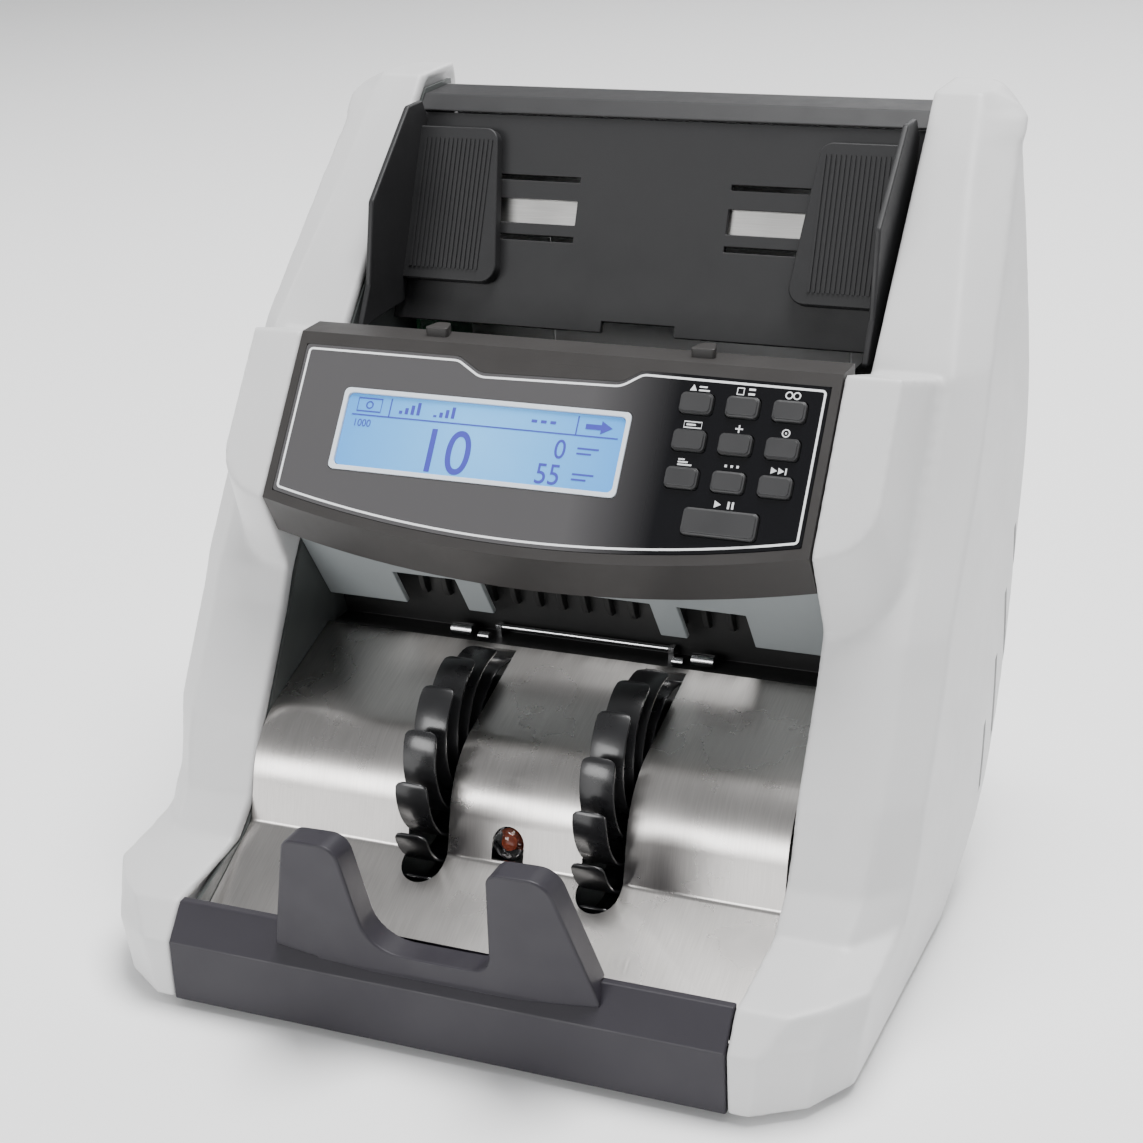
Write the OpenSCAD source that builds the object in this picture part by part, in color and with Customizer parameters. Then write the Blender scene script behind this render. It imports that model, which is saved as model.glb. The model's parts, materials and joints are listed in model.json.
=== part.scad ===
// Note counter: an assembly of separate shells, frames, shafts and keys.
// Work frame: X to the right, Y to the back, Z up. y = 0 and z = 0 are the front skirt's lower edge.
// place() then moves the work frame so that the origin is the bottom centre of the whole machine.

/* [Body] */
// Clear width between the two side walls
cavity_w = 196; // [190:1:200]
// Greatest half width over the side covers
cover_half_w = 137; // [134:0.5:140]
// Height of the side covers' tops above the skirt's lower edge
cover_h = 267.5; // [262:0.5:272]
// Wall thickness of moulded shells
shell_t = 2.5; // [2:0.1:3]
// Height of the rubber feet
foot_h = 3; // [2:0.5:5]

/* [Console] */
// Slope of the console's face from the horizontal
console_slope = 52.8; // [50:0.1:56]
// Thickness of the console's housing, square to its face
console_t = 15.4; // [14.5:0.1:18]
// Key pitch across
key_pitch_x = 15.7; // [15:0.1:16.5]
// Key pitch down the slope
key_pitch_v = 12.65; // [12.2:0.05:13]
// Key cap size, across and down
key_size = [11, 7];
// Travel of each key
key_travel = 1.2; // [0.8:0.1:1.4]

/* [Hopper] */
// Slope of the hopper's back plate from the horizontal
hopper_slope = 65.5; // [64:0.5:67]
// How far each side guide slides inwards
guide_travel = 24; // [10:1:26]

/* [Stacker] */
// Radius of the stacker wheels
wheel_r = 45.5; // [43:0.5:46]
// Width of the stacker wheels
wheel_w = 12; // [10:0.5:13]
// Blades on each stacker wheel
blades = 16; // [12:1:18]

/* [Drive] */
// Radius of every shaft
shaft_r = 4; // [3.5:0.1:4.5]
// Radius of the drive rollers
drive_r = 12; // [11:0.5:12.5]
// Radius of the pinch rollers
pinch_r = 7; // [6:0.5:7.5]
// Pitch radius of every belt pulley
pulley_r = 9; // [8:0.5:10]

/* [Hidden] */
$fn = 48;

half_w = cavity_w / 2;
fit = 0.05;              // radial running clearance
gap = 0.2;               // gap between neighbouring parts
eps = 0.01;
face_back_y = 256;       // outer face of the rear cover
wall_back_y = 258;       // rear of the side covers
stop_y = 15.1;           // foot of the stop plate's rear face
stop_lean = 11;
stop_t = 11;
stop_h = 49;
stop_front_y = stop_y - stop_t * cos(stop_lean) - stop_h * sin(stop_lean);
mid_y = (stop_front_y + wall_back_y) / 2;

module place() translate([0, -mid_y, foot_h]) children();

// ---- side wall outline: [z, value] tables read with lookup() ----
wall_front = [[0, 0], [21.6, 0], [32.6, 9], [34, 26], [36.5, 45], [42.4, 52.3], [47.3, 58.5], [56, 63],
  [71.4, 69.5], [89.4, 81.2], [105.7, 91.5], [117.4, 97.4], [190, 150.8], [cover_h, 226.5]];
wall_back = [[0, 188], [8, 195], [20, 205], [31, 214.5], [45, 226], [80, 243], [120, wall_back_y],
  [240, wall_back_y], [cover_h, 255]];
side_back = [[0, 131], [12, 150], [31, 166], [58, 178], [83, 188], [110, 198], [135, 207], [163, 213],
  [190, 217], [222, 222], [262, 232], [cover_h, 236]];
front_edge_x = [[0, 105], [21.6, 108], [32.6, 116], [37, 122], [60, 125.5], [190, 125.8],
  [241, 117.5], [cover_h, 115]];
side_x = [[0, 130], [30, 134.5], [70, cover_half_w], [170, cover_half_w], [214, cover_half_w - 3.5],
  [262, cover_half_w - 9], [cover_h, 117]];
chamfer_y = [[0, 27], [21.6, 26], [32.6, 22], [45, 16], [70, 12], [262, 11], [cover_h, 4]];
corner_bulge = [[0, 4.5], [21.6, 4], [32.6, 1], [45, 0], [cover_h, 0]];
back_edge_x = 112;
levels = [0, 8, 21.6, 32.6, 34, 36.5, 42.4, 47.3, 56, 71.4, 89.4, 105.7, 120, 145, 170, 190, 214, 241,
  262, cover_h];

function front_y(z, t) = lookup(z + t, wall_front) + 0.6 * t;
function back_y(z, t) = lookup(z - t, wall_back) - 0.6 * t;
function mid_point(a, b, out) = (a + b) / 2 + out * [b[1] - a[1], a[0] - b[0]] / norm(b - a);
// Horizontal section through the right side cover; t is the inset, and inner the x of its open side
function section(z, t, inner) =
  let (
    yf = front_y(z, t), yb = back_y(z, t),
    a = [lookup(z, front_edge_x) - 0.4 * t, yf],
    b = [lookup(z, side_x) - t, lookup(z + t, wall_front) + lookup(z, chamfer_y) + 0.4 * t],
    c = [lookup(z, side_x) - t, lookup(z - t, side_back) - 0.4 * t],
    d = [back_edge_x - 0.4 * t, yb]
  )
  [
    [inner, yf], a, mid_point(a, b, lookup(z, corner_bulge)), b,
    c, mid_point(c, d, 3.5), d, [inner, yb]
  ];
function mouth(z) = let (yf = front_y(z, shell_t) + 3, yb = back_y(z, shell_t), x1 = half_w + shell_t + 0.1)
  [[half_w - 2, yf], [x1, yf], [x1, yb], [half_w - 2, yb]];

slice = 0.01;
module slab(z, outline) translate([0, 0, z]) linear_extrude(slice) polygon(outline);
module stack(zs, outlines) for (k = [0 : len(zs) - 2]) hull() {
  slab(zs[k], outlines[k]);
  slab(zs[k + 1] - slice, outlines[k + 1]);
}

// ---- console frame: local x across, y up the slope, z out of the face ----
console_top = [122.3, 197.6];
console_len = 61;
bow = 9.6;               // how far the lower edge bows out at its middle
bow_tilt = 28.2;
bow_r = (half_w * half_w + bow * bow) / (2 * bow);

module on_console() translate([0, console_top[0], console_top[1]]) rotate([console_slope, 0, 0]) children();
function console_pt(v, h) = [
  console_top[0] - v * cos(console_slope) - h * sin(console_slope),
  console_top[1] - v * sin(console_slope) + h * cos(console_slope)];

// Round bar whose side is the bowed front band of the console
module bow_bar(inset) {
  foot = console_pt(console_len, 0);
  reach = bow_r - bow;
  translate([0, foot[0] + reach * cos(bow_tilt), foot[1] + reach * sin(bow_tilt)])
    rotate([bow_tilt, 0, 0]) cylinder(r = bow_r - inset, h = 400, center = true, $fn = 96);
}

module side_profile(points, x0, x1)
  translate([x0, 0, 0]) rotate([90, 0, 90]) linear_extrude(x1 - x0) polygon(points);

module plate_2d(w, h, r) {
  square([w - 2 * r, h], center = true);
  square([w, h - 2 * r], center = true);
  for (x = [-1, 1], y = [-1, 1]) translate([x * (w / 2 - r), y * (h / 2 - r)]) circle(r);
}

// ---- cheeks: raised blocks on the side covers that hold the console ----
wall_hi = [150.8, 190];
wall_lo = [97.4, 117.4];
wall_slope = atan2(wall_hi[1] - wall_lo[1], wall_hi[0] - wall_lo[0]);
wall_len = norm(wall_hi - wall_lo);
// Outline of a cheek: straight on the console's side, with its outer lower corner rounded
module cheek_outline(x1, len_v, r, t) intersection() {
  union() {
    translate([half_w + t, -len_v + r]) square([x1 - half_w - 2 * t, len_v - r - t]);
    translate([x1 - r, -len_v + r]) circle(r - t, $fn = 32);
  }
  translate([half_w + t, -len_v]) square([x1 - half_w, len_v]);
}
module cheek(t) hull() {
  on_console() translate([0, 0, -t]) linear_extrude(slice) cheek_outline(117.3, console_len, 19, t);
  translate([0, wall_hi[0], wall_hi[1]]) rotate([wall_slope, 0, 0])
    translate([0, 0, t > 0 ? -7 : -2]) linear_extrude(slice) cheek_outline(122, wall_len, 22, t);
}

// Louvre slots in the side, each [y, z of its foot, height]
vents = [for (i = [0 : 3]) [196 - 12 * i, 84 - 16 * i, 40 - 4 * i]];
vent_w = 3;
inner_levels = concat([shell_t], [for (l = levels) if (l > 6 && l < 260) l], [cover_h - shell_t]);
module side_cover(side) color([0.87, 0.87, 0.86]) place() mirror([side < 0 ? 1 : 0, 0, 0])
  difference() {
    union() {
      stack(levels, [for (z = levels) section(z, 0, half_w)]);
      cheek(0);
    }
    stack(inner_levels, [for (z = inner_levels) section(z, shell_t, half_w + shell_t)]);
    stack(inner_levels, [for (z = inner_levels) mouth(z)]);
    cheek(shell_t);
    for (v = vents) translate([cover_half_w - 12, v[0], v[1]]) cube([14, vent_w, v[2]]);
  }
module side_cover_left() side_cover(-1);
module side_cover_right() side_cover(1);

// ---- shaft positions, [y, z] ----
stacker_axis = [91, 49.5];
stacker_motor_axis = [156, 28];
feed_axis = [184, 167];
upper_axis = [170, 138];
lower_axis = [158, 108];
pinch_step = drive_r + pinch_r + 0.4;
pinch_dir = [-0.902, 0.433];
pinch_upper_axis = upper_axis + pinch_step * pinch_dir;
pinch_lower_axis = lower_axis + pinch_step * pinch_dir;
motor_axis = [205, 95];
shaft_axes = [stacker_axis, feed_axis, upper_axis, lower_axis, pinch_upper_axis, pinch_lower_axis];
frame_t = 1.6;
bush_r = 6;
bush_flange_t = 1.6;
pulley_x = 101.6;
pulley_w = 6;

module along_x(axis, x0, x1) translate([x0, axis[0], axis[1]]) rotate([0, 90, 0])
  linear_extrude(x1 - x0) children();
module rod(axis, r, x0, x1) translate([x0, axis[0], axis[1]]) rotate([0, 90, 0]) cylinder(r = r, h = x1 - x0);
module tube(axis, r, bore, x0, x1) translate([x0, axis[0], axis[1]]) rotate([0, 90, 0])
  rotate_extrude() translate([bore, 0]) square([r - bore, x1 - x0]);

// ---- frames ----
frame_levels = concat([4], [for (l = inner_levels) if (l > 6 && l < 260) l], [262]);
module side_frame(side) color([0.36, 0.38, 0.37]) place() mirror([side < 0 ? 1 : 0, 0, 0])
  difference() {
    side_profile(concat(
      [for (z = frame_levels) [front_y(z, shell_t) + 3.6, z]],
      [for (i = [len(frame_levels) - 1 : -1 : 0]) [back_y(frame_levels[i], 3) - 4, frame_levels[i]]]),
      half_w, half_w + frame_t);
    for (a = shaft_axes) rod(a, bush_r + fit, half_w - 1, half_w + 3);
    if (side > 0) rod(motor_axis, 11, half_w - 1, half_w + 3);
    if (side < 0) rod(stacker_motor_axis, 8, half_w - 1, half_w + 3);
  }
module side_frame_left() side_frame(-1);
module side_frame_right() side_frame(1);

module bearings() color("silver") place() for (side = [0, 1]) mirror([side, 0, 0]) for (a = shaft_axes) {
  tube(a, bush_r, shaft_r + fit, half_w - eps, half_w + frame_t + 1);
  tube(a, bush_r + 2, shaft_r + fit, half_w - bush_flange_t, half_w - eps / 2);
}

pan_t = 1.6;
pan_front = 3.2;
pan_back = 188;
module base_pan() color([0.3, 0.3, 0.31]) place() difference() {
  union() {
    translate([-half_w + gap, pan_front, 0]) cube([cavity_w - 2 * gap, pan_back - pan_front, pan_t]);
    for (s = [-1, 1]) translate([s * (half_w - 1.2) - 0.6, 15, 0]) cube([1.2, pan_back - 17, 10]);
  }
  for (i = [0 : 6]) translate([-60, 110 + 6 * i, -1]) cube([24, 2.4, 5]);
}

foot_xy = [[-82, 20], [82, 20], [-82, 174], [82, 174]];
module rubber_feet() color([0.12, 0.12, 0.12]) place() for (p = foot_xy)
  translate([p[0], p[1], -foot_h]) cylinder(r1 = 7, r2 = 8, h = foot_h);

module front_skirt() color([0.24, 0.23, 0.25]) place()
  side_profile([[0, 0], [0, 21.6], [9.1, 32.6], [12.2, 32.6], [12.2, 20], [9.7, 20], [9.7, 29.5],
    [8.6, 29.5], [2.5, 21], [2.5, 0]], -half_w + gap, half_w - gap);

// ---- stacker ----
floor_y = 58.3;
floor_z = 38.6;
floor_slope = 27;
riser_angle = 78;
roof_angle = 18;
curve_r = 30.6;
curve_start = [61, 51.5];
curve_mid = curve_start + curve_r * [sin(riser_angle), -cos(riser_angle)];
sheet_t = 1;
function sheet_path(t) = concat(
  [[14, floor_z - (floor_y - 14) * tan(floor_slope) - t], [floor_y + t * 0.6, floor_z - t]],
  [for (a = [riser_angle : -6 : roof_angle]) curve_mid + (curve_r - t) * [-sin(a), cos(a)]],
  [[122, curve_mid[1] + curve_r * cos(roof_angle) + (122 - curve_mid[0] + curve_r * sin(roof_angle))
    * tan(roof_angle) - 1.05 * t - 1.2]]);
function reversed(list) = [for (i = [len(list) - 1 : -1 : 0]) list[i]];
wheel_x = [-28.8, 35.2];
slot_w = 15;
lens_z = 45;
module stacker_plate() color([0.72, 0.7, 0.68]) place() difference() {
  side_profile(concat(sheet_path(0), reversed(sheet_path(sheet_t))), -half_w + gap, half_w - gap);
  for (x = wheel_x) rod(stacker_axis, wheel_r + 3.5, x - slot_w / 2, x + slot_w / 2);
  translate([0.8, floor_y - 3, lens_z]) rotate([-90, 0, 0]) cylinder(r = 6, h = 10);
}
module sensor_lens() color([0.9, 0.9, 0.92, 0.5]) place() translate([0.8, floor_y - 2.4, lens_z])
  rotate([-90, 0, 0]) { cylinder(r = 4.2, h = 9); translate([0, 0, 5]) cylinder(r = 5.6, h = 6); }

module stacker_wheel(x) color([0.09, 0.09, 0.09]) place() difference() {
  along_x(stacker_axis, x - wheel_w / 2, x + wheel_w / 2) union() {
    circle(11);
    // each blade is a ring segment that leaves the hub and trails off to the rim
    for (i = [0 : blades - 1]) rotate(i * 360 / blades) intersection() {
      translate([0, -23]) difference() { circle(24.8, $fn = 72); circle(23.2, $fn = 72); }
      circle(wheel_r, $fn = 96);
      translate([8, -58]) square(60);
    }
  }
  rod(stacker_axis, shaft_r, x - wheel_w, x + wheel_w);
}
module stacker_wheel_left() stacker_wheel(wheel_x[0]);
module stacker_wheel_right() stacker_wheel(wheel_x[1]);

module pulley(axis, side) {
  x0 = side > 0 ? pulley_x : -pulley_x - pulley_w;
  tube(axis, pulley_r, shaft_r - eps, x0, x0 + pulley_w);
  for (x = [x0 - 0.7, x0 + pulley_w]) tube(axis, pulley_r + 2.2, shaft_r - eps, x, x + 0.7);
}
module stacker_shaft() color("silver") place() {
  rod(stacker_axis, shaft_r, -pulley_x - pulley_w - 1, half_w + 4);
  pulley(stacker_axis, -1);
}
module motor(axis, r, x0, x1, side, boss) {
  rod(axis, r, x0, x1);
  if (side > 0) rod(axis, boss, x1, half_w - 0.6);
  else rod(axis, boss, -half_w + 0.6, x0);
  translate([x0, axis[0] - r * 0.7, axis[1] - r]) cube([x1 - x0, r * 1.4, r]);
}
module stacker_motor() color([0.55, 0.55, 0.57]) place() difference() {
  motor(stacker_motor_axis, 16, -88, -44, -1, 6);
  rod(stacker_motor_axis, 3 + fit, -half_w - 1, -80);
}
module motor_rotor(axis, side) {
  if (side > 0) rod(axis, 3, 84, pulley_x + pulley_w + 1);
  else rod(axis, 3, -pulley_x - pulley_w - 1, -82);
  x0 = side > 0 ? pulley_x : -pulley_x - pulley_w;
  tube(axis, pulley_r, 3 - eps, x0, x0 + pulley_w);
  for (x = [x0 - 0.7, x0 + pulley_w]) tube(axis, pulley_r + 2.2, 3 - eps, x, x + 0.7);
}
module stacker_motor_rotor() color("silver") place() motor_rotor(stacker_motor_axis, -1);

belt_t = 1.2;
belt_gap = 0.3;
module stadium(a, b, r) hull() {
  translate(a) circle(r, $fn = 32);
  translate(b) circle(r, $fn = 32);
}
// Flat loop round two equal pulleys
module belt(a, b, x0, x1) translate([x0, 0, 0]) rotate([90, 0, 90]) linear_extrude(x1 - x0) difference() {
  stadium(a, b, pulley_r + belt_gap + belt_t);
  stadium(a, b, pulley_r + belt_gap);
}
module stacker_belt() color([0.13, 0.13, 0.13]) place()
  belt(stacker_axis, stacker_motor_axis, -pulley_x - pulley_w + 0.5, -pulley_x - 0.5);
module drive_belts() color([0.13, 0.13, 0.13]) place() {
  belt(lower_axis, motor_axis, pulley_x + 0.2, pulley_x + 2.8);
  belt(upper_axis, lower_axis, pulley_x + 3.2, pulley_x + 5.8);
  belt(upper_axis, feed_axis, pulley_x + 0.2, pulley_x + 2.8);
}

// ---- stop plate ----
stop_foot_z = 27.5;
notch_x = 2;             // the finger notch sits a little to the right
module stop_outline() difference() {
  union() {
    polygon([[-60, 0], [60, 0], [48, stop_h - 7], [-48, stop_h - 7]]);
    for (s = [-1, 1]) translate([s * 36, stop_h - 8]) plate_2d(24, 16, 6);
  }
  translate([notch_x, 39.5]) plate_2d(46, 60, 14);
}
module stop_plate() color([0.21, 0.2, 0.22]) place() difference() {
  translate([0, stop_y, stop_foot_z]) rotate([90 + stop_lean, 0, 0]) linear_extrude(stop_t) stop_outline();
  side_profile([[-gap, -5], [-gap, 21.6], [9.1 - gap, 32.8], [20, 32.8], [20, -5]], -70, 70);
}

// ---- console ----
lcd_x = [-75.7, 30];
lcd_v = [19, 48.3];
key_x0 = 51.3;
key_v0 = 14.1;
run_key = [66.9, 53.3];
run_size = [25, 9];
function key_xv(i) = [key_x0 + key_pitch_x * (i % 3), key_v0 + key_pitch_v * floor(i / 3)];

module window_cut(grow, z0, z1) on_console()
  translate([(lcd_x[0] + lcd_x[1]) / 2, -(lcd_v[0] + lcd_v[1]) / 2, z0]) linear_extrude(z1 - z0)
    plate_2d(lcd_x[1] - lcd_x[0] + 2 * grow, lcd_v[1] - lcd_v[0] + 2 * grow, 2);
module key_cut(grow, z0, z1) on_console() {
  for (i = [0 : 8]) translate([key_xv(i)[0], -key_xv(i)[1], z0]) linear_extrude(z1 - z0)
    plate_2d(key_size[0] + 2 * grow, key_size[1] + 2 * grow, 1.8);
  translate([run_key[0], -run_key[1], z0]) linear_extrude(z1 - z0)
    plate_2d(run_size[0] + 2 * grow, run_size[1] + 2 * grow, 1.8);
}
module console_block(inset, h0, h1, top) intersection() {
  on_console() translate([-half_w + gap + inset, -90, h0])
    cube([cavity_w - 2 * gap - 2 * inset, 90 - inset + top, h1 - h0]);
  bow_bar(inset);
}
overlay_t = 0.8;
overlay_in = 3.2;
module console_housing() color([0.2, 0.19, 0.19]) place() difference() {
  union() {
    console_block(0, -console_t, 0, 0);
    side_profile([console_top, console_pt(1, -1), console_pt(1, 1 - console_t), console_pt(0, -console_t),
      [console_pt(0, -console_t)[0], console_top[1]]], gap - half_w, half_w - gap);
  }
  console_block(shell_t, -console_t - 1, -shell_t, 0);
  intersection() {
    on_console() translate([-half_w + overlay_in, -90, -overlay_t])
      cube([cavity_w - 2 * overlay_in, 85.5, 5]);
    bow_bar(overlay_in);
  }
  window_cut(0.2, -5, 2);
  key_cut(0.35, -5, 2);
}
module overlay_panel() color([0.1, 0.1, 0.11]) place() difference() {
  intersection() {
    on_console() translate([-half_w + overlay_in + gap, -90, -overlay_t])
      cube([cavity_w - 2 * overlay_in - 2 * gap, 85.5 - gap, overlay_t]);
    bow_bar(overlay_in + gap);
  }
  window_cut(0.2, -5, 2);
  key_cut(0.35, -5, 2);
}
module lcd_frame() color([0.88, 0.9, 0.92]) place() difference() {
  window_cut(0, -2.4, 0.3);
  window_cut(-1.6, -3, 1);
}
module lcd_window() color([0.5, 0.75, 0.92]) place() window_cut(-1.8, -2.4, -0.6);
key_flange_h = 4.2;      // foot of a key's flange, below the face
board_h = -key_flange_h - key_travel - 2.8;
module display_board() color([0.1, 0.35, 0.2]) place() {
  on_console() translate([-84, -58, board_h]) cube([174, 46, 1.4]);
  on_console() translate([-78, -50, board_h + 1.4]) cube([110, 33, -board_h - 1.4 - 2.7]);
}
module key(pos, size) color([0.23, 0.23, 0.23]) place() on_console() translate([pos[0], -pos[1], 0]) {
  translate([0, 0, -3.2]) linear_extrude(4.6) plate_2d(size[0], size[1], 1.6);
  translate([0, 0, 1.4]) linear_extrude(0.6) plate_2d(size[0] - 1.2, size[1] - 1.2, 1.2);
  translate([0, 0, -key_flange_h]) linear_extrude(1) plate_2d(size[0] + 1.6, size[1] + 1.6, 1);
}
module key_1() key(key_xv(0), key_size);
module key_2() key(key_xv(1), key_size);
module key_3() key(key_xv(2), key_size);
module key_4() key(key_xv(3), key_size);
module key_5() key(key_xv(4), key_size);
module key_6() key(key_xv(5), key_size);
module key_7() key(key_xv(6), key_size);
module key_8() key(key_xv(7), key_size);
module key_9() key(key_xv(8), key_size);
module key_run() key(run_key, run_size);

// ---- note exit under the console ----
duct_top = [100.4, 137.3];
duct_low = [125, 97.5];
duct_t = 2;
duct_cut = [[-66, -41.6], [-31.6, 31.6], [41.6, 66]];
duct_open = 18.3;
duct_angle = atan2(duct_top[1] - duct_low[1], duct_top[0] - duct_low[0]);
module duct_panel() color([0.5, 0.52, 0.53]) place() difference() {
  side_profile([duct_top, duct_low, duct_low + [duct_t, 0.6], duct_top + [duct_t, 1.2]],
    -half_w + gap, half_w - gap);
  for (c = duct_cut) translate([c[0], duct_low[0], duct_low[1]]) rotate([duct_angle - 180, 0, 0])
    translate([0, -duct_open, -4]) cube([c[1] - c[0], duct_open + 5, 8]);
}
module exit_guide() color([0.07, 0.07, 0.07]) place() {
  translate([-half_w + gap, 124, 84]) cube([cavity_w - 2 * gap, 14, 2]);
  side_profile([[136, 86], [138, 86], [131.5, 112], [129.5, 112]], -half_w + gap, half_w - gap);
  for (x = [-62 : 9 : 64]) translate([x, 0, 0])
    side_profile([[130, 100], [128, 103], [125, 112], [130.3, 112], [132.6, 100]], 0, 2);
}
module exit_pins() color("silver") place() {
  rod([132, 89.6], 1, -34, 34);
  for (x = [-34, 32]) translate([x, 130.5, 86]) cube([2, 3, 4.6]);
  for (x = [-50, 42]) rod([128.5, 88.4], 2.4, x, x + 8);
  for (x = [-39, 35]) rod([127, 87.5], 1.5, x, x + 4);
}

// ---- hopper ----
hopper_ref = [205.2, 218.7];
hopper_t = 2.5;
slot_z = [213.8, 233.9];
window_z = [218.7, 226.8];
peg_x = 66;              // inner end of a guide's pegs at rest
slot_inner = peg_x - guide_travel - 12.8;
slot_outer = 92;
slot_h = 2;
// local frame on the hopper plate: x across, y up the slope, z out towards the front
module on_hopper() translate([0, hopper_ref[0], hopper_ref[1]]) rotate([hopper_slope, 0, 0]) children();
function up_hopper(z) = (z - hopper_ref[1]) / sin(hopper_slope);
hopper_low = up_hopper(184);
hopper_high = up_hopper(254.7);
module hopper_plate() color([0.25, 0.25, 0.26]) place() on_hopper() difference() {
  translate([-half_w + gap, hopper_low, -hopper_t])
    cube([cavity_w - 2 * gap, hopper_high - hopper_low, hopper_t]);
  for (s = [0, 1]) mirror([s, 0, 0]) {
    for (z = slot_z) translate([slot_inner, up_hopper(z) - slot_h / 2, -5])
      cube([slot_outer - slot_inner, slot_h, 8]);
    translate([slot_inner, up_hopper(window_z[0]), -5])
      cube([slot_outer - slot_inner, up_hopper(window_z[1]) - up_hopper(window_z[0]), 8]);
  }
  translate([-14, hopper_low - 1, -5]) cube([28, 5, 10]);
}
module slide_rails() color([0.78, 0.77, 0.75]) place() on_hopper() for (s = [0, 1]) mirror([s, 0, 0])
  translate([slot_inner - 6, up_hopper(window_z[0]) - 1.5, -hopper_t - 1.4])
    cube([slot_outer - slot_inner + 9, up_hopper(window_z[1]) - up_hopper(window_z[0]) + 3, 1.2]);
module hopper_cap() color([0.25, 0.25, 0.26]) place()
  side_profile([[220.6, 255.6], [226.8, 260.6], [246.4, 260.6], [246.4, 258.2], [227.4, 258.2], [222, 255]],
    -half_w + gap, half_w - gap);
pad_t = 5;
guide_rest = 0.4;
module guide(side) color([0.17, 0.17, 0.18]) place() mirror([side < 0 ? 1 : 0, 0, 0]) {
  on_hopper() {
    translate([0, 0, guide_rest]) linear_extrude(pad_t)
      polygon([[62, up_hopper(249)], [94, up_hopper(249)], [94, up_hopper(197)], [55.5, up_hopper(197)]]);
    for (z = slot_z) translate([peg_x, up_hopper(z) - 0.7, -hopper_t - 3]) cube([22, 1.4, hopper_t + 3 + 1]);
    translate([64, up_hopper(slot_z[0]) - 2, -hopper_t - 4.6])
      cube([26, up_hopper(slot_z[1]) - up_hopper(slot_z[0]) + 4, 1.8]);
  }
  // side wing that keeps the notes square
  difference() {
    side_profile([[205, 260], [172, 232], [165, 203], [156, 189], [190.8, 190], [219.8, 253], [216, 260]],
      93.2, 95.4);
    on_hopper() translate([80, -60, -20]) cube([30, 130, 20 + guide_rest]);
  }
}
module guide_left() guide(-1);
module guide_right() guide(1);

// ---- feed and transport ----
module feed_shaft() color("silver") place() {
  rod(feed_axis, shaft_r, -half_w - 4, pulley_x + pulley_w + 1);
  pulley(feed_axis, 1);
}
module rollers(axis, r, places) for (p = places) tube(axis, r, shaft_r, p[0] - p[1] / 2, p[0] + p[1] / 2);
feed_r = 13;
drive_places = [[-70, 12], [-30, 12], [30, 12], [70, 12]];
module feed_rollers() color([0.16, 0.16, 0.16]) place()
  rollers(feed_axis, feed_r, [[-36.8, 9], [0, 16], [36.8, 9]]);
separator_axis = [160.5, 172];
module separator_roller() color([0.2, 0.2, 0.2]) place() {
  rod(separator_axis, 3, -half_w + gap, half_w - gap);
  rollers(separator_axis, 9.5, [[-20, 10], [20, 10]]);
  for (x = [-20, 20]) rod(separator_axis, shaft_r + eps, x - 5, x + 5);
}
module upper_shaft() color("silver") place() {
  rod(upper_axis, shaft_r, -half_w - 4, pulley_x + pulley_w + 1);
  pulley(upper_axis, 1);
}
module upper_rollers() color([0.18, 0.18, 0.18]) place() rollers(upper_axis, drive_r, drive_places);
module lower_shaft() color("silver") place() {
  rod(lower_axis, shaft_r, -half_w - 4, pulley_x + pulley_w + 1);
  pulley(lower_axis, 1);
}
module lower_rollers() color([0.18, 0.18, 0.18]) place() rollers(lower_axis, drive_r, drive_places);
module pinch(axis) color([0.6, 0.6, 0.62]) place() {
  rod(axis, shaft_r, -half_w - 4, half_w + 4);
  for (p = drive_places) rod(axis, pinch_r, p[0] - 5, p[0] + 5);
}
module pinch_roller_upper() pinch(pinch_upper_axis);
module pinch_roller_lower() pinch(pinch_lower_axis);
module main_motor() color([0.55, 0.55, 0.57]) place() difference() {
  motor(motor_axis, 21, 20, 86, 1, 8);
  rod(motor_axis, 3 + fit, 80, half_w + 2);
}
module main_motor_rotor() color("silver") place() motor_rotor(motor_axis, 1);

// ---- electronics ----
// Stands on edge beside the left frame, clear of the rear door's opening
board_x = -94;
module main_board() color([0.1, 0.35, 0.2]) place() {
  translate([board_x, 200, 118]) cube([1.6, 44, 66]);
  for (z = [126, 148]) translate([board_x + 1, 206, z]) cube([4, 18, 14]);
  for (z = [126, 142, 158]) translate([board_x + 1, 236, z]) rotate([0, 90, 0]) cylinder(r = 5, h = 11);
}
module power_supply() color([0.66, 0.67, 0.68]) place() difference() {
  translate([-28, 140, pan_t + 1]) cube([112, 45, 40]);
  for (i = [0 : 7]) translate([-18 + 12 * i, 144, 30]) cube([5, 37, 20]);
}

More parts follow.
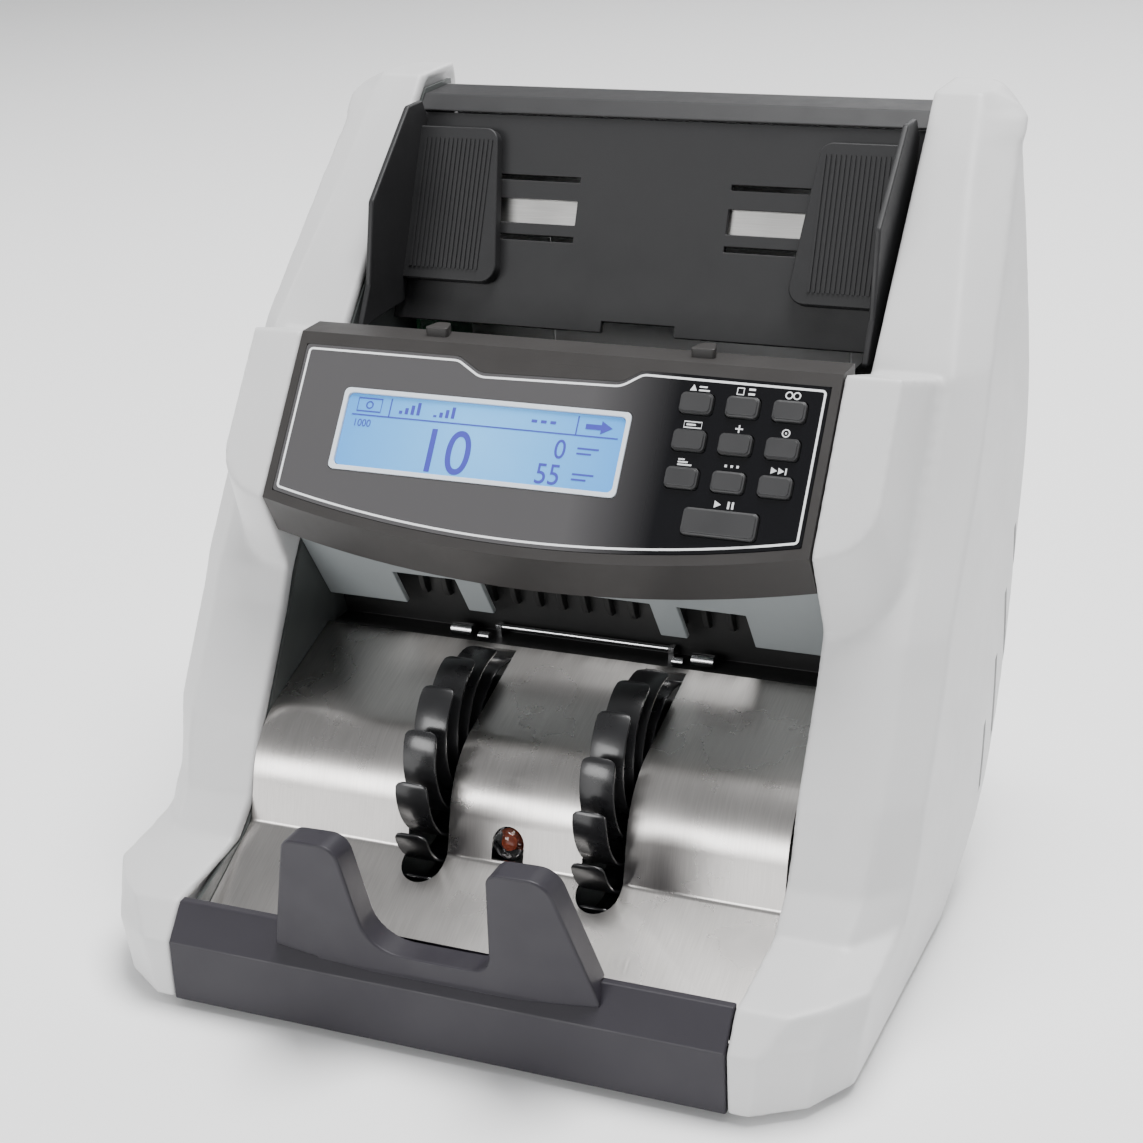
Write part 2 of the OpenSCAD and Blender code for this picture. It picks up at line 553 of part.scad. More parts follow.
// ---- rear ----
door_w = 121.2;
door_z = [131.5, 214];
door_pin_axis = [254.75, 131.5];
inlet_at = [80, 151];
switch_at = [80, 190];
rocker_pivot = [252, switch_at[1]];
rocker_pin_r = 1.5;
rear_outer = [[191.4, pan_t + 0.2], [205, 21], [222, 42], [240, 76], [face_back_y, 112], [face_back_y, 252],
  [246.8, 260.6]];
rear_inner = [[246.8, 257.2], [face_back_y - shell_t, 250.6], [face_back_y - shell_t, 112.6], [237.6, 77],
  [219.6, 43.4], [202.4, 22.2], [188.4, pan_t + 0.2]];
module rear_cover() color([0.8, 0.8, 0.79]) place() difference() {
  side_profile(concat(rear_outer, rear_inner), -half_w + gap, half_w - gap);
  translate([-61, 250, 128.8]) cube([122, 20, door_z[1] + 0.4 - 128.8]);
  rod(door_pin_axis, 0.8, -66, 66);
  translate([inlet_at[0] - 14, 250, inlet_at[1] - 10.5]) cube([28, 20, 21]);
  translate([switch_at[0] - 7, 250, switch_at[1] - 10.5]) cube([14, 20, 21]);
  for (p = screw_xz) translate([p[0], 250, p[1]]) rotate([-90, 0, 0]) cylinder(r = 1.8, h = 20);
  for (i = [0 : 7]) translate([-70 + 18 * i, 225, 52]) cube([10, 20, 10]);
}
module jam_door() color([0.8, 0.8, 0.79]) place() difference() {
  union() {
    translate([-door_w / 2, face_back_y - shell_t, door_z[0]]) cube([door_w, shell_t, door_z[1] - door_z[0]]);
    rod(door_pin_axis, 2.2, -door_w / 2, door_w / 2);
  }
  rod(door_pin_axis, 0.8 + fit, -70, 70);
  translate([-15, face_back_y - 1, 198]) cube([30, 5, 9]);
}
module door_pin() color("silver") place() rod(door_pin_axis, 0.8, -65.5, 65.5);
module power_inlet() color([0.08, 0.08, 0.08]) place() {
  difference() {
    union() {
      translate([inlet_at[0] - 13.8, 238, inlet_at[1] - 10.3]) cube([27.6, 18.5, 20.6]);
      translate([inlet_at[0] - 16, face_back_y + 0.05, inlet_at[1] - 13]) cube([32, 1.8, 26]);
    }
    translate([inlet_at[0] - 11, 244, inlet_at[1] - 7.5]) cube([22, 20, 15]);
  }
  for (x = [-5.5, 0, 5.5]) translate([inlet_at[0] + x - 1, 243, inlet_at[1] - 2]) cube([2, 11, 4]);
  difference() {
    union() {
      translate([switch_at[0] - 6.8, 238, switch_at[1] - 10.3]) cube([13.6, 18.5, 20.6]);
      translate([switch_at[0] - 8.5, face_back_y + 0.05, switch_at[1] - 12]) cube([17, 1.2, 24]);
    }
    translate([switch_at[0] - 5.8, 246, switch_at[1] - 9.6]) cube([11.6, 20, 19.2]);
    rod(rocker_pivot, rocker_pin_r + fit, switch_at[0] - 6.6, switch_at[0] + 6.6);
  }
}
module switch_rocker() color([0.1, 0.1, 0.1]) place() {
  rod(rocker_pivot, rocker_pin_r, switch_at[0] - 6.5, switch_at[0] + 6.5);
  side_profile([for (p = [[-2, -7.4], [6, -7.8], [4, 0], [3.8, 7.8], [-2, 7.4]]) rocker_pivot + p],
    switch_at[0] - 5.5, switch_at[0] + 5.5);
}
screw_xz = [[-91, 124], [91, 124], [-91, 240], [91, 240]];
module cover_screws() color("silver") place() for (p = screw_xz)
  translate([p[0], 0, p[1]]) rotate([-90, 0, 0]) difference() {
    union() {
      translate([0, 0, 246]) cylinder(r = 1.6, h = 12);
      translate([0, 0, face_back_y + 0.05]) cylinder(r = 3.4, h = 1.8);
    }
    for (a = [0, 90]) rotate(a) translate([-2, -0.4, face_back_y + 1]) cube([4, 0.8, 3]);
  }

base_pan();
rubber_feet();
side_cover_left();
side_cover_right();
side_frame_left();
side_frame_right();
front_skirt();
stop_plate();
stacker_plate();
sensor_lens();
stacker_shaft();
stacker_wheel_left();
stacker_wheel_right();
stacker_motor();
stacker_motor_rotor();
stacker_belt();
console_housing();
overlay_panel();
lcd_frame();
lcd_window();
display_board();
key_1();
key_2();
key_3();
key_4();
key_5();
key_6();
key_7();
key_8();
key_9();
key_run();
duct_panel();
exit_guide();
exit_pins();
hopper_plate();
hopper_cap();
slide_rails();
guide_left();
guide_right();
feed_shaft();
feed_rollers();
separator_roller();
upper_shaft();
upper_rollers();
lower_shaft();
lower_rollers();
pinch_roller_upper();
pinch_roller_lower();
main_motor();
main_motor_rotor();
drive_belts();
bearings();
main_board();
power_supply();
rear_cover();
jam_door();
door_pin();
power_inlet();
switch_rocker();
cover_screws();
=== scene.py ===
import json
import math
import bmesh
import bpy
import numpy as np
from mathutils import Matrix, Vector


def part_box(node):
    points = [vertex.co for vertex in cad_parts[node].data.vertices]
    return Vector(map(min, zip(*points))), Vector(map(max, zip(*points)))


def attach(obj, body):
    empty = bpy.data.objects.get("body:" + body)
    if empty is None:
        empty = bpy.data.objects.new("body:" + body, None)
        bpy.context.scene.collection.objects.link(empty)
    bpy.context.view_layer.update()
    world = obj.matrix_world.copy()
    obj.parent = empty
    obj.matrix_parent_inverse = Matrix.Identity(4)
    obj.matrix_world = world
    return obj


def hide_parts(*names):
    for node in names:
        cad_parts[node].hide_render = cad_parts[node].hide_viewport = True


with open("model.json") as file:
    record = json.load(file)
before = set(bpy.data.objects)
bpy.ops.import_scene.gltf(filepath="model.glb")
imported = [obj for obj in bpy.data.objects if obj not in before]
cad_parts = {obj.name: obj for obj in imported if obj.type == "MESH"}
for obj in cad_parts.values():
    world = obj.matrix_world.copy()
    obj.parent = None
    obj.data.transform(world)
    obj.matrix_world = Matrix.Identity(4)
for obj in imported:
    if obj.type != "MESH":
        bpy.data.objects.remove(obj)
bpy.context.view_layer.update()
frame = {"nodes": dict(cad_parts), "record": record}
print("frame loaded:", len(frame["nodes"]), "nodes")

# Work places are in millimetres from the middle of the skirt's lower front edge, as in the part's source
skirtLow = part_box("front_skirt")[0]
workOrigin = Vector((0, skirtLow.y, skirtLow.z))


def at(x, y, z):
    return Vector((x, y, z)) * 0.001 + workOrigin


cameraSet = {"place": (299.7, -545.4, 416.6), "azimuth": 24.149, "elevation": 22.158, "roll": -2.713,
             "lens": 72.1}


def makeCamera(c):
    data = bpy.data.cameras.new("shotCamera")
    data.lens = c["lens"]
    data.sensor_width = 36
    data.clip_end = 20
    cam = bpy.data.objects.new("shotCamera", data)
    bpy.context.collection.objects.link(cam)
    turn = (Matrix.Rotation(math.radians(c["azimuth"]), 4, "Z")
            @ Matrix.Rotation(math.radians(90 - c["elevation"]), 4, "X")
            @ Matrix.Rotation(math.radians(c["roll"]), 4, "Z"))
    cam.matrix_world = Matrix.Translation(at(*c["place"])) @ turn
    bpy.context.scene.camera = cam


studio = {
    "floorSize": 6.0, "floorColor": (0.95, 0.95, 0.95), "world": (0.97, 0.98, 1.0), "worldStrength": 0.36,
    # name: place (m), aim (m), size (m), power (W)
    "lights": {
        "keyTop": ((0.3, 0.3, 2.3), (0, 0, 0.1), (1.4, 1.1), 105),
        "frontLow": ((-0.9, -2.3, 0.7), (0, 0, 0.14), (1.4, 0.8), 36),
        "sideLeft": ((-2.2, 0.3, 0.9), (0, 0, 0.14), (0.9, 1.3), 12),
        "fillRight": ((2.3, 0.6, 0.9), (0, 0, 0.14), (0.8, 1.0), 8),
        "rimBack": ((0.2, 2.2, 1.2), (0, 0, 0.1), (1.6, 0.7), 14),
    },
}


def makeStudio(s):
    world = bpy.data.worlds.new("studioWorld")
    world.use_nodes = True
    back = world.node_tree.nodes["Background"]
    back.inputs["Color"].default_value = (*s["world"], 1)
    back.inputs["Strength"].default_value = s["worldStrength"]
    bpy.context.scene.world = world
    for name, (place, aim, size, power) in s["lights"].items():
        data = bpy.data.lights.new(name, "AREA")
        data.shape = "RECTANGLE"
        data.size, data.size_y = size
        data.energy = power
        lamp = bpy.data.objects.new(name, data)
        bpy.context.collection.objects.link(lamp)
        way = Vector(aim) - Vector(place)
        lamp.matrix_world = Matrix.Translation(place) @ way.to_track_quat("-Z", "Y").to_matrix().to_4x4()
    half = s["floorSize"] / 2
    mesh = bpy.data.meshes.new("studioFloor")
    corners = [(-half, -half, 0), (half, -half, 0), (half, half, 0), (-half, half, 0)]
    mesh.from_pydata(corners, [], [(0, 1, 2, 3)])
    floor = bpy.data.objects.new("studioFloor", mesh)
    bpy.context.collection.objects.link(floor)
    mat = bpy.data.materials.new("paleFloor")
    mat.use_nodes = True
    shader = mat.node_tree.nodes["Principled BSDF"]
    shader.inputs["Base Color"].default_value = (*s["floorColor"], 1)
    shader.inputs["Roughness"].default_value = 0.7
    mesh.materials.append(mat)


makeCamera(cameraSet)
makeStudio(studio)
print("camera and studio set")


def socket(tree, name, kind, way, value=None):
    s = tree.interface.new_socket(name=name, in_out=way, socket_type=kind)
    if value is not None:
        s.default_value = value
    return s


def link(tree, a, b):
    tree.links.new(a, b)


def setInputs(node, values):
    for name, value in values.items():
        node.inputs[name].default_value = value


def make(tree, kind, values=None, **settings):
    # New node with its settings, and then the values of its inputs
    node = tree.nodes.new(kind)
    for name, value in settings.items():
        setattr(node, name, value)
    setInputs(node, values or {})
    return node


def objectNoise(tree, values):
    coord = make(tree, "ShaderNodeTexCoord")
    noise = make(tree, "ShaderNodeTexNoise", values)
    link(tree, coord.outputs["Object"], noise.inputs["Vector"])
    return noise


def mixedColor(tree, factor, a=None, b=None):
    mix = make(tree, "ShaderNodeMix", data_type="RGBA")
    link(tree, factor, mix.inputs["Factor"])
    for name, color in (("A", a), ("B", b)):
        if color is not None:
            mix.inputs[name].default_value = (*color, 1)
    return mix, [o for o in mix.outputs if o.type == "RGBA"][0]


def summed(tree, a, b):
    add = make(tree, "ShaderNodeMath")
    link(tree, a, add.inputs[0])
    link(tree, b, add.inputs[1])
    return add.outputs["Value"]


def surfaceGroup(name, inputs):
    # Group that gives a colour, a roughness and a height
    tree = bpy.data.node_groups.new(name, "ShaderNodeTree")
    for label, kind, value in inputs:
        socket(tree, label, kind, "INPUT", value)
    socket(tree, "Color", "NodeSocketColor", "OUTPUT")
    socket(tree, "Roughness", "NodeSocketFloat", "OUTPUT")
    socket(tree, "Height", "NodeSocketFloat", "OUTPUT")
    return tree, make(tree, "NodeGroupInput").outputs, make(tree, "NodeGroupOutput").inputs


def grainGroup():
    # Moulded texture: a fine pebble for the bump, and slow patches for colour and roughness
    tree, given, out = surfaceGroup("mouldedGrain", [
        ("Color", "NodeSocketColor", (0.5, 0.5, 0.5, 1)), ("Roughness", "NodeSocketFloat", 0.5),
        ("Grain Scale", "NodeSocketFloat", 2600.0), ("Patch Scale", "NodeSocketFloat", 18.0)])
    fine = objectNoise(tree, {"Detail": 2})
    slow = objectNoise(tree, {"Detail": 4})
    smear = objectNoise(tree, {"Detail": 6, "Scale": 70})
    link(tree, given["Grain Scale"], fine.inputs["Scale"])
    link(tree, given["Patch Scale"], slow.inputs["Scale"])
    shade = make(tree, "ShaderNodeMapRange", {"To Min": 0.93, "To Max": 1.05})
    link(tree, slow.outputs["Fac"], shade.inputs["Value"])
    scaled = make(tree, "ShaderNodeVectorMath", operation="SCALE")
    link(tree, given["Color"], scaled.inputs[0])
    link(tree, shade.outputs["Result"], scaled.inputs["Scale"])
    link(tree, scaled.outputs["Vector"], out["Color"])
    wear = make(tree, "ShaderNodeMapRange", {"From Min": 0.3, "From Max": 0.7, "To Min": -0.06,
                                             "To Max": 0.07})
    link(tree, smear.outputs["Fac"], wear.inputs["Value"])
    link(tree, summed(tree, given["Roughness"], wear.outputs["Result"]), out["Roughness"])
    link(tree, fine.outputs["Fac"], out["Height"])
    return tree


def brushGroup():
    # Brushed metal: streaks along one axis, with faint stains
    tree, given, out = surfaceGroup("brushedStreaks", [
        ("Dark", "NodeSocketColor", (0.4, 0.4, 0.4, 1)), ("Light", "NodeSocketColor", (0.7, 0.7, 0.7, 1)),
        ("Roughness", "NodeSocketFloat", 0.3), ("Streaks", "NodeSocketVector", (2500.0, 60.0, 60.0))])
    coord = make(tree, "ShaderNodeTexCoord")
    stretch = make(tree, "ShaderNodeVectorMath", operation="MULTIPLY")
    link(tree, coord.outputs["Object"], stretch.inputs[0])
    link(tree, given["Streaks"], stretch.inputs[1])
    fine = make(tree, "ShaderNodeTexNoise", {"Scale": 1, "Detail": 3})
    link(tree, stretch.outputs["Vector"], fine.inputs["Vector"])
    stain = objectNoise(tree, {"Scale": 32, "Detail": 5})
    mix, color = mixedColor(tree, fine.outputs["Fac"])
    link(tree, given["Dark"], mix.inputs["A"])
    link(tree, given["Light"], mix.inputs["B"])
    link(tree, color, out["Color"])
    rough = make(tree, "ShaderNodeMapRange", {"To Min": -0.07, "To Max": 0.1})
    link(tree, stain.outputs["Fac"], rough.inputs["Value"])
    link(tree, summed(tree, given["Roughness"], rough.outputs["Result"]), out["Roughness"])
    link(tree, fine.outputs["Fac"], out["Height"])
    return tree


groups = {"grain": grainGroup(), "brush": brushGroup()}


def baseMaterial(name, values):
    mat = bpy.data.materials.new(name)
    mat.use_nodes = True
    shader = mat.node_tree.nodes["Principled BSDF"]
    setInputs(shader, values)
    return mat, mat.node_tree, shader


def addBump(tree, shader, height, strength, distance):
    bump = make(tree, "ShaderNodeBump", {"Strength": strength, "Distance": distance})
    link(tree, height, bump.inputs["Height"])
    link(tree, bump.outputs["Normal"], shader.inputs["Normal"])


def groupMaterial(name, group, given, bump, depth, values):
    mat, tree, shader = baseMaterial(name, values)
    g = make(tree, "ShaderNodeGroup", given, node_tree=groups[group])
    link(tree, g.outputs["Color"], shader.inputs["Base Color"])
    link(tree, g.outputs["Roughness"], shader.inputs["Roughness"])
    addBump(tree, shader, g.outputs["Height"], bump, depth)
    return mat


def moulded(name, color, rough, grain=2600.0, bump=0.18, coat=0.0, specular=0.5):
    return groupMaterial(name, "grain", {"Color": (*color, 1), "Roughness": rough, "Grain Scale": grain},
                         bump, 0.0002, {"Coat Weight": coat, "Coat Roughness": 0.12,
                                        "Specular IOR Level": specular})


def brushed(name, dark, light, rough, streaks, bump=0.12, anisotropy=0.0):
    return groupMaterial(name, "brush", {"Dark": (*dark, 1), "Light": (*light, 1), "Roughness": rough,
                                         "Streaks": streaks},
                         bump, 0.0001, {"Metallic": 1, "Anisotropic": anisotropy})


def overlayFilm(name, left, right, edgeX, width):
    # Printed film: grey on the display side, fading to black round the keys
    mat, tree, shader = baseMaterial(name, {"Roughness": 0.22, "Coat Weight": 0.35, "Coat Roughness": 0.1,
                                            "Specular IOR Level": 0.3})
    coord, split = make(tree, "ShaderNodeTexCoord"), make(tree, "ShaderNodeSeparateXYZ")
    link(tree, coord.outputs["Object"], split.inputs["Vector"])
    ramp = make(tree, "ShaderNodeMapRange", {"From Min": edgeX - width / 2, "From Max": edgeX + width / 2})
    link(tree, split.outputs["X"], ramp.inputs["Value"])
    color = mixedColor(tree, ramp.outputs["Result"], left, right)[1]
    link(tree, color, shader.inputs["Base Color"])
    addBump(tree, shader, objectNoise(tree, {"Scale": 900}).outputs["Fac"], 0.05, 0.0001)
    return mat


def displayGlow(name, middle, edge, centre, reach):
    # Backlit display: brightest in the middle, with faint clouds
    mat, tree, shader = baseMaterial(name, {"Emission Strength": 0.30, "Roughness": 0.18})
    coord = make(tree, "ShaderNodeTexCoord")
    away = make(tree, "ShaderNodeVectorMath", operation="DISTANCE")
    away.inputs[1].default_value = centre
    link(tree, coord.outputs["Object"], away.inputs[0])
    fall = make(tree, "ShaderNodeMapRange", {"From Max": reach})
    link(tree, away.outputs["Value"], fall.inputs["Value"])
    soften = make(tree, "ShaderNodeMath", operation="MULTIPLY_ADD")
    soften.inputs[1].default_value = 0.25
    link(tree, objectNoise(tree, {"Scale": 45}).outputs["Fac"], soften.inputs[0])
    link(tree, fall.outputs["Result"], soften.inputs[2])
    color = mixedColor(tree, soften.outputs["Value"], middle, edge)[1]
    link(tree, color, shader.inputs["Base Color"])
    link(tree, color, shader.inputs["Emission Color"])
    return mat


mats = {
    "shell": moulded("paleShell", (0.60, 0.60, 0.60), 0.42, bump=0.10),
    "charcoal": moulded("charcoalShell", (0.022, 0.020, 0.026), 0.47, bump=0.16, specular=0.35),
    "bezel": moulded("bezelShell", (0.032, 0.030, 0.029), 0.45, bump=0.16, specular=0.35),
    "hopper": moulded("hopperBlack", (0.020, 0.020, 0.021), 0.5, bump=0.2, specular=0.35),
    "pad": moulded("padBlack", (0.017, 0.017, 0.018), 0.52, bump=0.2, specular=0.35),
    "greyShell": moulded("ductGrey", (0.24, 0.26, 0.265), 0.4, bump=0.1),
    "blade": moulded("bladeElastomer", (0.012, 0.012, 0.013), 0.3, grain=900, bump=0.06, coat=0.25),
    # Near black, given to the exit guide and, as painted shade, to the sheets behind the vent slots
    "dark": moulded("nearBlackAndPaintedShade", (0.008, 0.008, 0.008), 0.6),
    "frameSheet": moulded("frameSheet", (0.075, 0.082, 0.080), 0.45, grain=1400, bump=0.12),
    "steel": brushed("stainlessSheet", (0.42, 0.405, 0.39), (0.60, 0.58, 0.56), 0.27, (2400.0, 90.0, 90.0),
                     bump=0.10, anisotropy=0.3),
    "rail": brushed("railSteel", (0.55, 0.54, 0.52), (0.82, 0.81, 0.79), 0.3, (80.0, 2600.0, 2600.0)),
    "shaft": brushed("groundShaft", (0.45, 0.45, 0.46), (0.62, 0.62, 0.63), 0.22, (2200.0, 50.0, 50.0)),
    "can": brushed("platedCan", (0.42, 0.43, 0.44), (0.55, 0.56, 0.57), 0.4, (60.0, 900.0, 900.0)),
    "bronze": brushed("bushBronze", (0.42, 0.28, 0.13), (0.6, 0.43, 0.22), 0.4, (300.0, 300.0, 300.0)),
    "key": moulded("keyRubber", (0.030, 0.030, 0.031), 0.45, grain=2000, bump=0.1, specular=0.4),
    "roller": moulded("rollerRubber", (0.020, 0.020, 0.021), 0.55, grain=1500, bump=0.25),
    "pinch": moulded("pinchPlastic", (0.32, 0.33, 0.35), 0.4, grain=1200),
    "belt": moulded("beltRubber", (0.015, 0.015, 0.015), 0.6, grain=1800, bump=0.3),
    "foot": moulded("footRubber", (0.012, 0.012, 0.012), 0.65, grain=1600, bump=0.3),
    "board": moulded("solderMask", (0.015, 0.11, 0.05), 0.3, grain=500, coat=0.3),
    "inlet": moulded("inletBlack", (0.014, 0.014, 0.014), 0.4, grain=2000),
    "print": moulded("whitePrint", (0.80, 0.81, 0.82), 0.45, grain=1800, bump=0.04),
    "lcdFrame": moulded("lcdBorder", (0.68, 0.74, 0.80), 0.35, grain=1800, bump=0.04),
    "lcdInk": moulded("lcdInk", (0.055, 0.06, 0.42), 0.4, grain=1800, bump=0.02),
}


def addObject(name, mesh):
    obj = bpy.data.objects.new(name, mesh)
    bpy.context.collection.objects.link(obj)
    return obj


def meshFrom(name, bm):
    mesh = bpy.data.meshes.new(name)
    bm.to_mesh(mesh)
    bm.free()
    return mesh


def baked(obj):
    # Applies every modifier by taking the evaluated mesh
    graph = bpy.context.evaluated_depsgraph_get()
    fresh = bpy.data.meshes.new_from_object(obj.evaluated_get(graph))
    obj.modifiers.clear()
    old = obj.data
    obj.data = fresh
    bpy.data.meshes.remove(old)
    return obj


def shadeByAngle(obj, degrees):
    mesh = obj.data
    for p in mesh.polygons:
        p.use_smooth = True
    mesh.set_sharp_from_angle(angle=math.radians(degrees))


def outwards(bm):
    bmesh.ops.remove_doubles(bm, verts=bm.verts, dist=1e-6)
    bmesh.ops.recalc_face_normals(bm, faces=bm.faces)


def finishPiece(obj, material, body, replaced=(), smooth=35):
    obj.data.materials.clear()
    obj.data.materials.append(mats[material] if isinstance(material, str) else material)
    if smooth:
        shadeByAngle(obj, smooth)
    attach(obj, body)
    if replaced:
        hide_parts(*replaced)
    return obj


bodyOf = {n: b for b, names in frame["record"]["behaviour"]["bodies"].items() for n in names}


def evenShading(obj):
    # Smooth shading that keeps the broad flat faces flat
    for p in obj.data.polygons:
        p.use_smooth = True
    weigh = obj.modifiers.new("weigh", "WEIGHTED_NORMAL")
    weigh.mode = "FACE_AREA"
    weigh.weight = 80
    weigh.keep_sharp = True


def roundEdges(obj, width, segments, degrees):
    bevel = obj.modifiers.new("soften", "BEVEL")
    bevel.width = width * 0.001
    bevel.segments = segments
    bevel.limit_method = "ANGLE"
    bevel.angle_limit = math.radians(degrees)


def softened(node, material, width, segments):
    # The CAD node's own form with its sharp edges rounded over
    bm = bmesh.new()
    bm.from_mesh(frame["nodes"][node].data)
    bmesh.ops.remove_doubles(bm, verts=bm.verts, dist=2e-6)
    bmesh.ops.dissolve_limit(bm, angle_limit=math.radians(0.6), verts=bm.verts, edges=bm.edges)
    obj = addObject(node + "_finished", meshFrom(node + "_finished", bm))
    roundEdges(obj, width, segments, 30)
    evenShading(obj)
    baked(obj)
    return finishPiece(obj, material, bodyOf[node], [node], smooth=0)


def booleanWith(obj, other, operation):
    m = obj.modifiers.new("cut", "BOOLEAN")
    m.operation = operation
    m.solver = "EXACT"
    m.object = other
    baked(obj)
    bpy.data.objects.remove(other)


def arcCorners(points, steps=6):
    # points: (x, y, radius); returns the outline with its corners rounded
    out = []
    count = len(points)
    for i, (x, y, r) in enumerate(points):
        here = Vector((x, y))
        before = Vector(points[i - 1][:2]) - here
        after = Vector(points[(i + 1) % count][:2]) - here
        if r <= 0:
            out.append((x, y))
            continue
        a, b = before.normalized(), after.normalized()
        half = a.angle(b) / 2
        reach = min(r / math.tan(half), before.length * 0.48, after.length * 0.48)
        radius = reach * math.tan(half)
        centre = here + (a + b).normalized() * (radius / math.sin(half))
        start, end = here + a * reach - centre, here + b * reach - centre
        turn = start.angle_signed(end)
        for k in range(steps + 1):
            t = -turn * k / steps
            out.append((centre.x + start.x * math.cos(t) - start.y * math.sin(t),
                        centre.y + start.x * math.sin(t) + start.y * math.cos(t)))
    return out


def slabOf(bm, outline, place, h0, h1):
    # Closed slab between two heights; place turns (x, v, h) into a point
    rings = [[bm.verts.new(place(x, v, h)) for x, v in outline] for h in (h0, h1)]
    bm.faces.new(rings[0])
    bm.faces.new(list(reversed(rings[1])))
    for i in range(len(outline)):
        j = (i + 1) % len(outline)
        bm.faces.new((rings[0][i], rings[1][i], rings[1][j], rings[0][j]))


def slabSolid(name, outline, place, h0, h1):
    bm = bmesh.new()
    slabOf(bm, outline, place, h0, h1)
    outwards(bm)
    return addObject(name, meshFrom(name, bm))


def prism(name, outline, x0, x1):
    # Closed solid: a (y, z) outline carried along X
    return slabSolid(name, outline, lambda y, z, x: at(x, y, z), x0, x1)


def barOn(bm, place, x0, x1, v0, v1, h0, h1):
    slabOf(bm, [(x0, v0), (x1, v0), (x1, v1), (x0, v1)], place, h0, h1)


def ribbonOn(bm, place, path, width, h0, h1, closed=True):
    # Flat line of even width that follows a path in the face
    count = len(path)
    inner, outer = [], []
    for i, p in enumerate(path):
        q = path[(i + 1) % count] if closed or i < count - 1 else p
        o = path[i - 1] if closed or i > 0 else p
        dx, dy = q[0] - o[0], q[1] - o[1]
        size = math.hypot(dx, dy)
        nx, ny = -dy / size * width / 2, dx / size * width / 2
        inner.append((p[0] + nx, p[1] + ny))
        outer.append((p[0] - nx, p[1] - ny))
    last = count if closed else count - 1
    rows = [[bm.verts.new(place(x, v, h)) for x, v in side] for side in (inner, outer) for h in (h0, h1)]
    a, b, c, d = rows
    for i in range(last):
        j = (i + 1) % count
        bm.faces.new((a[i], a[j], b[j], b[i]))
        bm.faces.new((b[i], b[j], d[j], d[i]))
        bm.faces.new((d[i], d[j], c[j], c[i]))
        bm.faces.new((c[i], c[j], a[j], a[i]))
    if not closed:
        bm.faces.new((a[0], b[0], d[0], c[0]))
        bm.faces.new((a[-1], c[-1], d[-1], b[-1]))


def solidPiece(name, bm, material, body, replaced=(), bevel=0.0, segments=2, smooth=30):
    bmesh.ops.recalc_face_normals(bm, faces=bm.faces)
    obj = addObject(name, meshFrom(name, bm))
    if bevel:
        roundEdges(obj, bevel, segments, 40)
        evenShading(obj)
        baked(obj)
        smooth = 0
    return finishPiece(obj, material, body, replaced, smooth)


def smoothCurve(table, z):
    # Smooth reading of a table of (z, value) pairs, by a cubic with finite-difference slopes
    zs = np.array([p[0] for p in table], float)
    vs = np.array([p[1] for p in table], float)
    slopes = np.gradient(vs, zs)
    z = min(max(z, zs[0]), zs[-1])
    i = int(min(max(np.searchsorted(zs, z) - 1, 0), len(zs) - 2))
    h = zs[i + 1] - zs[i]
    t = (z - zs[i]) / h
    a, b = 2 * t ** 3 - 3 * t ** 2 + 1, t ** 3 - 2 * t ** 2 + t
    c, d = -2 * t ** 3 + 3 * t ** 2, t ** 3 - t ** 2
    return float(a * vs[i] + b * h * slopes[i] + c * vs[i + 1] + d * h * slopes[i + 1])


def lineCurve(table, z):
    return float(np.interp(z, [p[0] for p in table], [p[1] for p in table]))


# Side covers: tables of (height, value) that give the horizontal section at any height
wall = {
    "inner": 98.0, "height": 267.5, "shell": 2.5, "backEdgeX": 112.0, "backBulge": 3.5,
    "voxel": 1.3, "smoothing": 4,
    "frontY": [(0, 0), (21.6, 0), (32.6, 9), (34, 26), (36.5, 45), (42.4, 52.3), (47.3, 58.5), (56, 63),
               (71.4, 69.5), (89.4, 81.2), (105.7, 91.5), (117.4, 97.4), (190, 150.8), (267.5, 226.5)],
    "backY": [(0, 188), (8, 195), (20, 205), (31, 214.5), (45, 226), (80, 243), (120, 256), (150, 258),
              (240, 258), (267.5, 255)],
    "sideBackY": [(0, 131), (12, 150), (31, 166), (58, 178), (83, 188), (110, 198), (135, 207), (163, 213),
                  (190, 217), (222, 222), (262, 232), (267.5, 236)],
    "edgeX": [(0, 105), (21.6, 108), (32.6, 116), (37, 122), (60, 125.5), (190, 125.8), (241, 117.5),
              (267.5, 115)],
    "sideX": [(0, 130), (30, 134.5), (70, 137), (120, 137.2), (170, 137), (214, 133.5), (250, 129.5),
              (262, 128), (267.5, 117)],
    "chamferY": [(0, 27), (21.6, 26), (32.6, 22), (45, 16), (70, 12), (262, 11), (267.5, 4)],
    "bulge": [(0, 4.5), (21.6, 4), (32.6, 1), (45, 0), (267.5, 0)],
    "cheek": {"faceX": 117.3, "faceRadius": 19.0, "wallX": 122.0, "wallRadius": 22.0},
    "vents": [(196 - 12 * i, 84 - 16 * i, 40 - 4 * i) for i in range(4)], "ventWidth": 3.0,
}
console = {"topY": 122.3, "topZ": 197.6, "slope": math.radians(52.8), "length": 61.0, "bow": 9.6,
           "bowTilt": math.radians(28.2), "halfWidth": 98.0}


def onConsole(x, v, h):
    # x across, v down the face, h out of the face
    s = console["slope"]
    return at(x, console["topY"] - v * math.cos(s) - h * math.sin(s),
              console["topZ"] - v * math.sin(s) + h * math.cos(s))


def midPoint(a, b, out):
    dx, dy = b[0] - a[0], b[1] - a[1]
    size = math.hypot(dx, dy)
    return ((a[0] + b[0]) / 2 + out * dy / size, (a[1] + b[1]) / 2 - out * dx / size)


